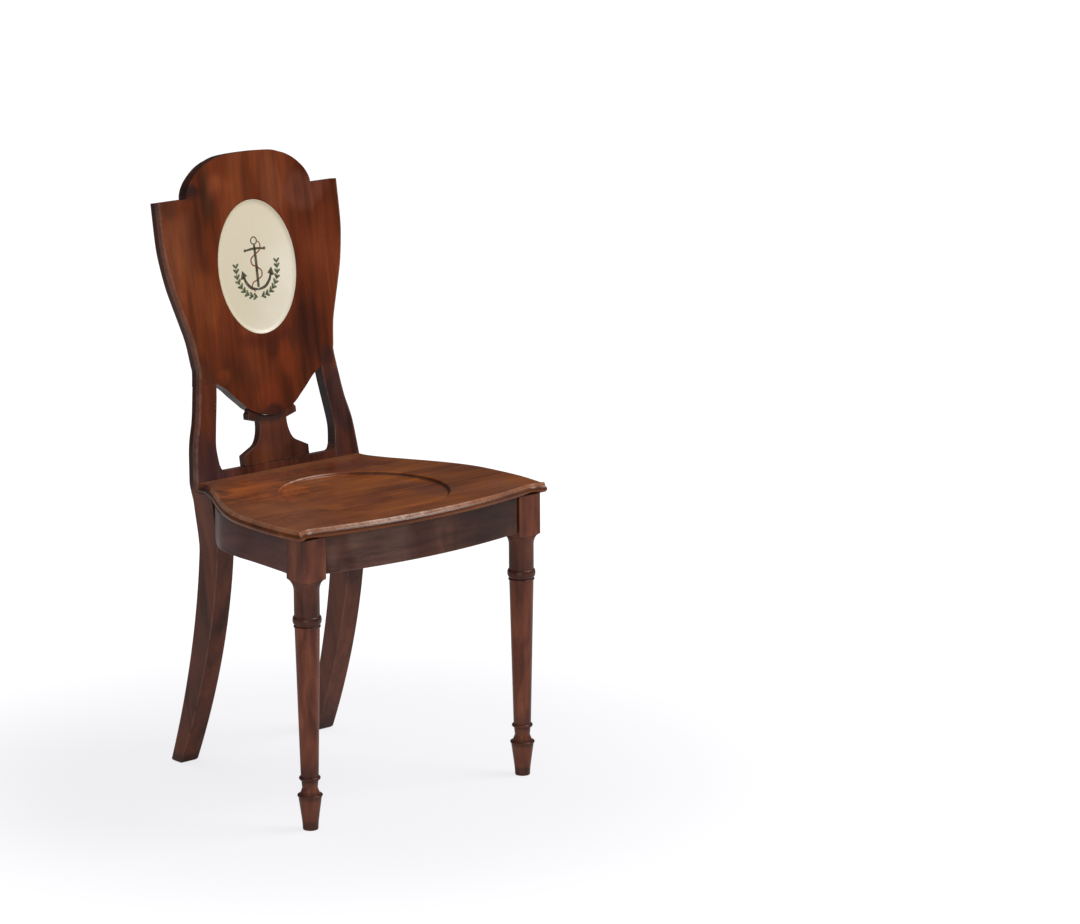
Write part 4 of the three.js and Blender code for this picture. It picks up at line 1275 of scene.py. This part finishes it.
    def post_ring(self, height: float) -> list[Pair]:
        """Draws the right post's section, a little smaller close to the floor.

        Args:
            height: the height above the floor.

        Returns:
            The section's points, by their work depths.
        """
        tuck = self.foot_round - math.sqrt(self.foot_round ** 2 - max(self.foot_round - height, 0) ** 2)
        front, back = self.post_depths(height)
        front, back = front + tuck, back - tuck
        rise = (height - CHAIR.seat_height) * CHAIR.cosine
        near, far = (rise + (depth - CHAIR.leg_to_back) * CHAIR.sine for depth in (front, back))
        start, end = self.post_outer(near) - tuck, self.post_outer(far) - tuck
        return [(self.post_inner(near) + tuck, front), (start, front),
                *[(start + (end - start) * t / (back - front), front + t) for t in self.band],
                (end, back), (self.post_inner(far) + tuck, back)]

    def posts(self) -> None:
        """Makes the two rear posts, each one piece from the floor to the shield's waist."""
        joint = self.top_height - self.joint_gap
        top = CHAIR.seat_height + joint * CHAIR.cosine
        heights = [0, 0.3, 1.2, 2.5, self.foot_round, *[CHAIR.rail_bottom * k / 40 for k in range(1, 41)],
                   *[CHAIR.rail_bottom + 8 * k for k in range(1, 6)], CHAIR.board_bottom,
                   CHAIR.board_bottom + 0.001, *[CHAIR.board_bottom + 4 + 2.5 * k for k in range(60)]]
        sections = [(height, self.post_ring(height)) for height in heights if height < top - 2]
        edge, inner, thick = self.post_outer(joint), self.post_inner(joint), CHAIR.back_thickness
        last = [(inner, 0), (edge, 0), *[(edge, t) for t in self.band], (edge, thick), (inner, thick)]

        def shows(edge: BMEdge) -> bool:
            """Says whether an edge rises and isn't part of the joint on the shield."""
            return rises(edge) and min(v.co.z for v in edge.verts) < (top - 4) * MM

        for side in Side:
            rings = [CHAIR.level([(side.value * x, depth) for x, depth in points], height)
                     for height, points in sections]
            rings.append([CHAIR.on_back(side.value * x, joint, t) for x, t in last])
            work = Workpiece(f"{side.word}_back_post_swept")
            work.loft(rings)
            work.merge(0.05)
            work.soften(self.front_arris, 5, 40, self.outer_front)
            work.soften(self.post_arris, 3, 40, shows)
            work.mark(work.grime, self.darkening)
            work.mark(work.arris, self.pale_band)
            work.finish(self.palette.post, "shield_wood", f"{side.word}_back_post")

    def outer_front(self, edge: BMEdge) -> bool:
        """Picks the edges that run up the outer front of the back, above the seat.

        Args:
            edge: an edge.

        Returns:
            Whether it is one of these.
        """
        for x, y, z in (vert.co / MM for vert in edge.verts):
            height = (z - CHAIR.seat_height) / CHAIR.cosine
            flush = abs(y + CHAIR.middle_depth - CHAIR.face_depth(z)) < 0.3
            if not (flush and height > -12 and abs(x) > self.waist_half - 3
                    and abs(x) > crossing(self.outer_edge(), max(height, 0)) - 2):
                return False
        return rises(edge)

    def darkening(self, place: Vector, normal: Vector) -> float:
        """Gives the painted shade on the back's side faces above the seat, slight on the paler front
        band, the darker feet, and painted shade on the faces that look backwards.
        """
        edge = place.z > CHAIR.seat_height - 10 and abs(normal.y) < 0.6
        return pick((0.15, edge and self.pale(place)), (0.95, edge), (0.7, place.z < 12),
                    (0.3, normal.y >= 0.5))

    def at_edge(self, place: Vector) -> bool:
        """Says whether a place lies near the back's outer edge."""
        return abs(place.x) > self.waist_half - self.pale_width

    def pale(self, place: Vector) -> bool:
        """Says whether a place lies at the outer front of the back, which is painted paler as a
        highlight.
        """
        return self.at_edge(place) and CHAIR.behind(place) < self.band[1] - 1

    def pale_band(self, place: Vector, normal: Vector) -> float | None:
        """Gives the painted highlight on the outer front of the back's outer edge, none on the rest of
        that edge, and None elsewhere.
        """
        outer = abs(normal.y) < 0.9 and abs(normal.x) > 0.3 and place.z > CHAIR.seat_height
        return float(self.pale(place)) if outer and self.at_edge(place) else None

    def shield_outline(self) -> list[Pair]:
        """Draws the shield.

        Returns:
            Its right half, from its point round to the top.
        """
        heel = self.shoulder_height + self.arch_heel
        return [*self.lower_edge(), *stretch(self.outer_edge(), self.top_height, self.shoulder_height),
                (self.arch_half, self.shoulder_height),
                *smooth(spread(self.arch_shares, (0, self.arch_half), (heel, heel + self.arch_rise)), 48)]

    def shield(self) -> None:
        """Makes the shield with its oval recess."""
        work = Workpiece("shield_panel_shaped")
        outline = whole(self.shield_outline())
        front = work.ring(CHAIR.raked(outline))
        behind = (*self.band, CHAIR.back_thickness)
        work.close(work.draw(front, *[CHAIR.raked(outline, t) for t in behind]))
        oval = ellipse(self.oval_height, *self.oval)
        rim = work.ring(CHAIR.raked(oval))
        work.close(work.draw(rim, CHAIR.raked(oval, self.oval_recess)))
        bmesh.ops.triangle_fill(work.mesh, use_beauty=True, edges=[*front, *rim])
        joint = CHAIR.on_back(0, self.top_height).z

        def shows(edge: BMEdge) -> bool:
            """Says whether an edge isn't part of the joints on the posts."""
            return not all(abs(v.co.z - joint) < 4 * MM and abs(v.co.x) > (self.top_inner - 1) * MM
                           for v in edge.verts)

        work.soften(self.front_arris, 5, 35, self.outer_front)
        work.soften(self.shield_arris, 3, 35, shows)
        work.mark(work.grime, self.darkening)
        work.mark(work.arris, self.pale_band)
        work.finish(self.palette.shield, "shield_wood", "shield_panel")

    def tablet(self) -> None:
        """Makes the oval tablet, flush at its rim and coved down to its field."""
        half, tall = (size - CHAIR.gap for size in self.oval)

        def rim(place: Vector, normal: Vector) -> float:
            """Gives how close a place, in millimetres, lies to the rim."""
            v = (place.z - CHAIR.seat_height) / CHAIR.cosine - self.oval_height
            return max(0.0, 1 - (1 - math.hypot(place.x / half, v / tall)) * half / 3.0)

        work = Workpiece("oval_tablet_coved")
        work.loft([CHAIR.raked(ellipse(self.oval_height, half - inside, tall - inside), behind)
                   for inside, behind in self.cove_profile])
        work.mark(work.arris, rim)
        work.finish(self.palette.paint, "oval_paint", "oval_tablet")

    def device(self) -> None:
        """Paints a plain old device on the oval: an anchor and its cord between two sprigs."""
        for name, draw, paint in (("anchor", Painting.anchor, self.palette.ink),
                                  ("cord", Painting.cord, self.palette.cord),
                                  ("sprigs", Painting.sprigs, self.palette.leaf)):
            work = Painting(name, self.oval_height)
            draw(work)
            work.finish(paint, "oval_paint")

    def pedestal(self) -> None:
        """Makes the pedestal between the rear rail and the shield's point."""
        bottom = CHAIR.rear_rise + CHAIR.gap
        cap_top = self.cap_height + self.cap_edge
        cap_inner = self.cap_half - self.cap_step
        edge = [(x, y - CHAIR.gap) for x, y in self.lower_edge()]
        rising = [point for point in edge if point[0] < cap_inner]
        meet = crossing([(y, x) for x, y in edge], cap_inner)
        half = [
            (0, bottom), (self.base_half, bottom), (self.base_half, CHAIR.rear_rise + self.base_rise),
            *smooth(spread(self.cove_shares, (self.neck_half, self.cove_half),
                           (CHAIR.rear_rise + self.cove_rise, self.neck_height)), 30),
            (self.cap_half, self.cap_height), (self.cap_half, cap_top),
            (cap_inner, cap_top + self.cap_step), (cap_inner, meet), *reversed(rising)]
        work = Workpiece("pedestal_fretted")
        work.loft([CHAIR.raked(whole(half), self.set_back + t) for t in (0, self.pedestal_thickness)])
        work.soften(self.pedestal_arris, 2)
        # Painted shade on the pedestal's side faces.
        work.mark(work.grime, lambda place, normal: 0.6 if abs(normal.y) < 0.6 else 0.0)
        work.finish(self.palette.post, "shield_wood", "pedestal")

    def build(self) -> None:
        """Makes the whole back."""
        self.posts()
        self.shield()
        self.tablet()
        self.device()
        self.pedestal()


@dataclass
class Studio:
    """The camera, lamps and floor, none of which belong to the chair."""

    camera_place: Triple = (-3.89197, -4.9143, 1.90764)
    yaw: float = 0.71645059
    pitch: float = 0.22653999
    roll: float = -0.00512553
    focal_pixels: float = 4487.41
    picture_width: int = 1080
    soft_light: float = 0.42
    mirrored_light: float = 0.06
    lamp_distance: float = 3.0
    lamp_aim: float = 0.45
    shadow: Pair = (0.35, 1.1)
    shadow_white: float = 0.79
    floor_radius: float = 40.0

    def camera(self) -> None:
        """Sets the camera at the photograph's viewing angle."""
        data = bpy.data.cameras.new("camera")
        data.sensor_width = 36
        data.lens = 36 * self.focal_pixels / self.picture_width
        data.clip_end = 60
        camera = add_object("camera", data)
        forward = Vector((math.sin(self.yaw) * math.cos(self.pitch),
                          math.cos(self.yaw) * math.cos(self.pitch), -math.sin(self.pitch)))
        level = Vector((math.cos(self.yaw), -math.sin(self.yaw), 0))
        upright = level.cross(forward)
        right = level * math.cos(self.roll) + upright * math.sin(self.roll)
        up = upright * math.cos(self.roll) - level * math.sin(self.roll)
        turn = Matrix((right, up, -forward)).transposed()
        camera.matrix_world = Matrix.Translation(self.camera_place) @ turn.to_4x4()
        bpy.context.scene.camera = camera

    def lamp(self, name: str, way: Triple, size: float, share: float, colour: Triple) -> None:
        """Hangs a square soft box that faces the chair.

        Args:
            name: the lamp's name.
            way: the direction in which it hangs, seen from the seat.
            size: its side, in metres.
            share: its share of the light on a face that looks at it.
            colour: its colour.
        """
        data = bpy.data.lights.new(name, "AREA")
        data.size = size
        data.energy = share * (math.pi * self.lamp_distance) ** 2
        data.color = colour
        lamp = add_object(name, data)
        ray = Vector(way).normalized()
        lamp.location = Vector((0, 0, self.lamp_aim)) + ray * self.lamp_distance
        lamp.rotation_euler = (-ray).to_track_quat("-Z", "Y").to_euler()
        lamp.visible_camera = False

    def world(self) -> None:
        """Makes the pale surroundings: white where they are seen, dimmer where they light the chair."""
        world = bpy.data.worlds.new("studio")
        bpy.context.scene.world = world
        world.use_nodes = True
        world.node_tree.nodes.clear()
        make = Nodes(world.node_tree)
        seen, glossy = make.rays()
        dimmer = make.math("MULTIPLY", glossy, self.soft_light - self.mirrored_light)
        strength = make.math("MAXIMUM", seen, make.math("SUBTRACT", self.soft_light, dimmer))
        shade = make.add("Background", {"Color": WHITE, "Strength": strength})
        make.add("OutputWorld", {"Surface": shade.outputs[0]})

    def floor(self) -> None:
        """Lays the white floor, which keeps the chair's soft shadow and has a painted shade drawn round
        the chair.
        """
        make = Surface("white_floor")
        seen, glossy = make.rays()
        away = make.vector("LENGTH", make.where, output=1)
        # Painted shade: seen by the camera, the floor glows a little less and a little bluer near the
        # chair, out to the shadow's reach.
        white = make.math("MULTIPLY", seen, make.ramp(away, *self.shadow, self.shadow_white, 1.0))
        mirrored_white = make.math("MULTIPLY", glossy, make.ramp(away, 1.0, 2.4, 0.1, 0.0))
        bounced = make.mix(glossy, (0.75, 0.75, 0.76), (0.5, 0.5, 0.5))
        diffuse = make.add("BsdfDiffuse", {"Color": make.mix(seen, bounced, (0.17, 0.17, 0.175))})
        tint = make.mix(make.ramp(away, *self.shadow, 1.0, 0.0), WHITE, (0.99, 0.98, 1.01))
        glow = make.add("Emission", {"Color": tint, "Strength": make.math("ADD", white, mirrored_white)})
        work = bmesh.new()
        bmesh.ops.create_circle(work, cap_ends=True, segments=96, radius=self.floor_radius)
        both = make.add("AddShader", {0: diffuse.outputs[0], 1: glow.outputs[0]})
        add_mesh("floor", work, make.close(both))

    def build(self) -> None:
        """Sets up the whole studio."""
        bpy.context.scene.view_settings.view_transform = "Standard"
        self.camera()
        self.world()
        self.floor()
        self.lamp("key", (0.5, -0.45, 0.74), 1.5, 0.62, (1.0, 0.985, 0.96))
        self.lamp("fill", (-0.74, -0.64, 0.1), 1.7, 0.17, (1.0, 0.97, 0.96))
        self.lamp("top", (-0.1, 0.35, 0.93), 1.6, 0.12, WHITE)


def dress_hidden_parts(nodes: dict[str, Object], palette: Palette) -> None:
    """Gives the corner blocks and screws their finish.

    Args:
        nodes: the frame's nodes by name.
        palette: the chair's finishes.
    """
    for name, node in nodes.items():
        if name.endswith(("_screw", "_corner_block")):
            node.data.materials.clear()
            node.data.materials.append(palette.iron if name.endswith("_screw") else palette.hidden)


def main() -> None:
    """Builds every sub-assembly in order."""
    logging.basicConfig(level=logging.INFO, format="%(name)s: %(message)s")
    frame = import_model()
    Studio().build()
    palette = Palette()
    dress_hidden_parts(frame["nodes"], palette)
    for part in (Seat(palette), FrontLegs(palette), Rails(palette), Back(palette)):
        part.build()


if __name__ == "__main__":
    main()
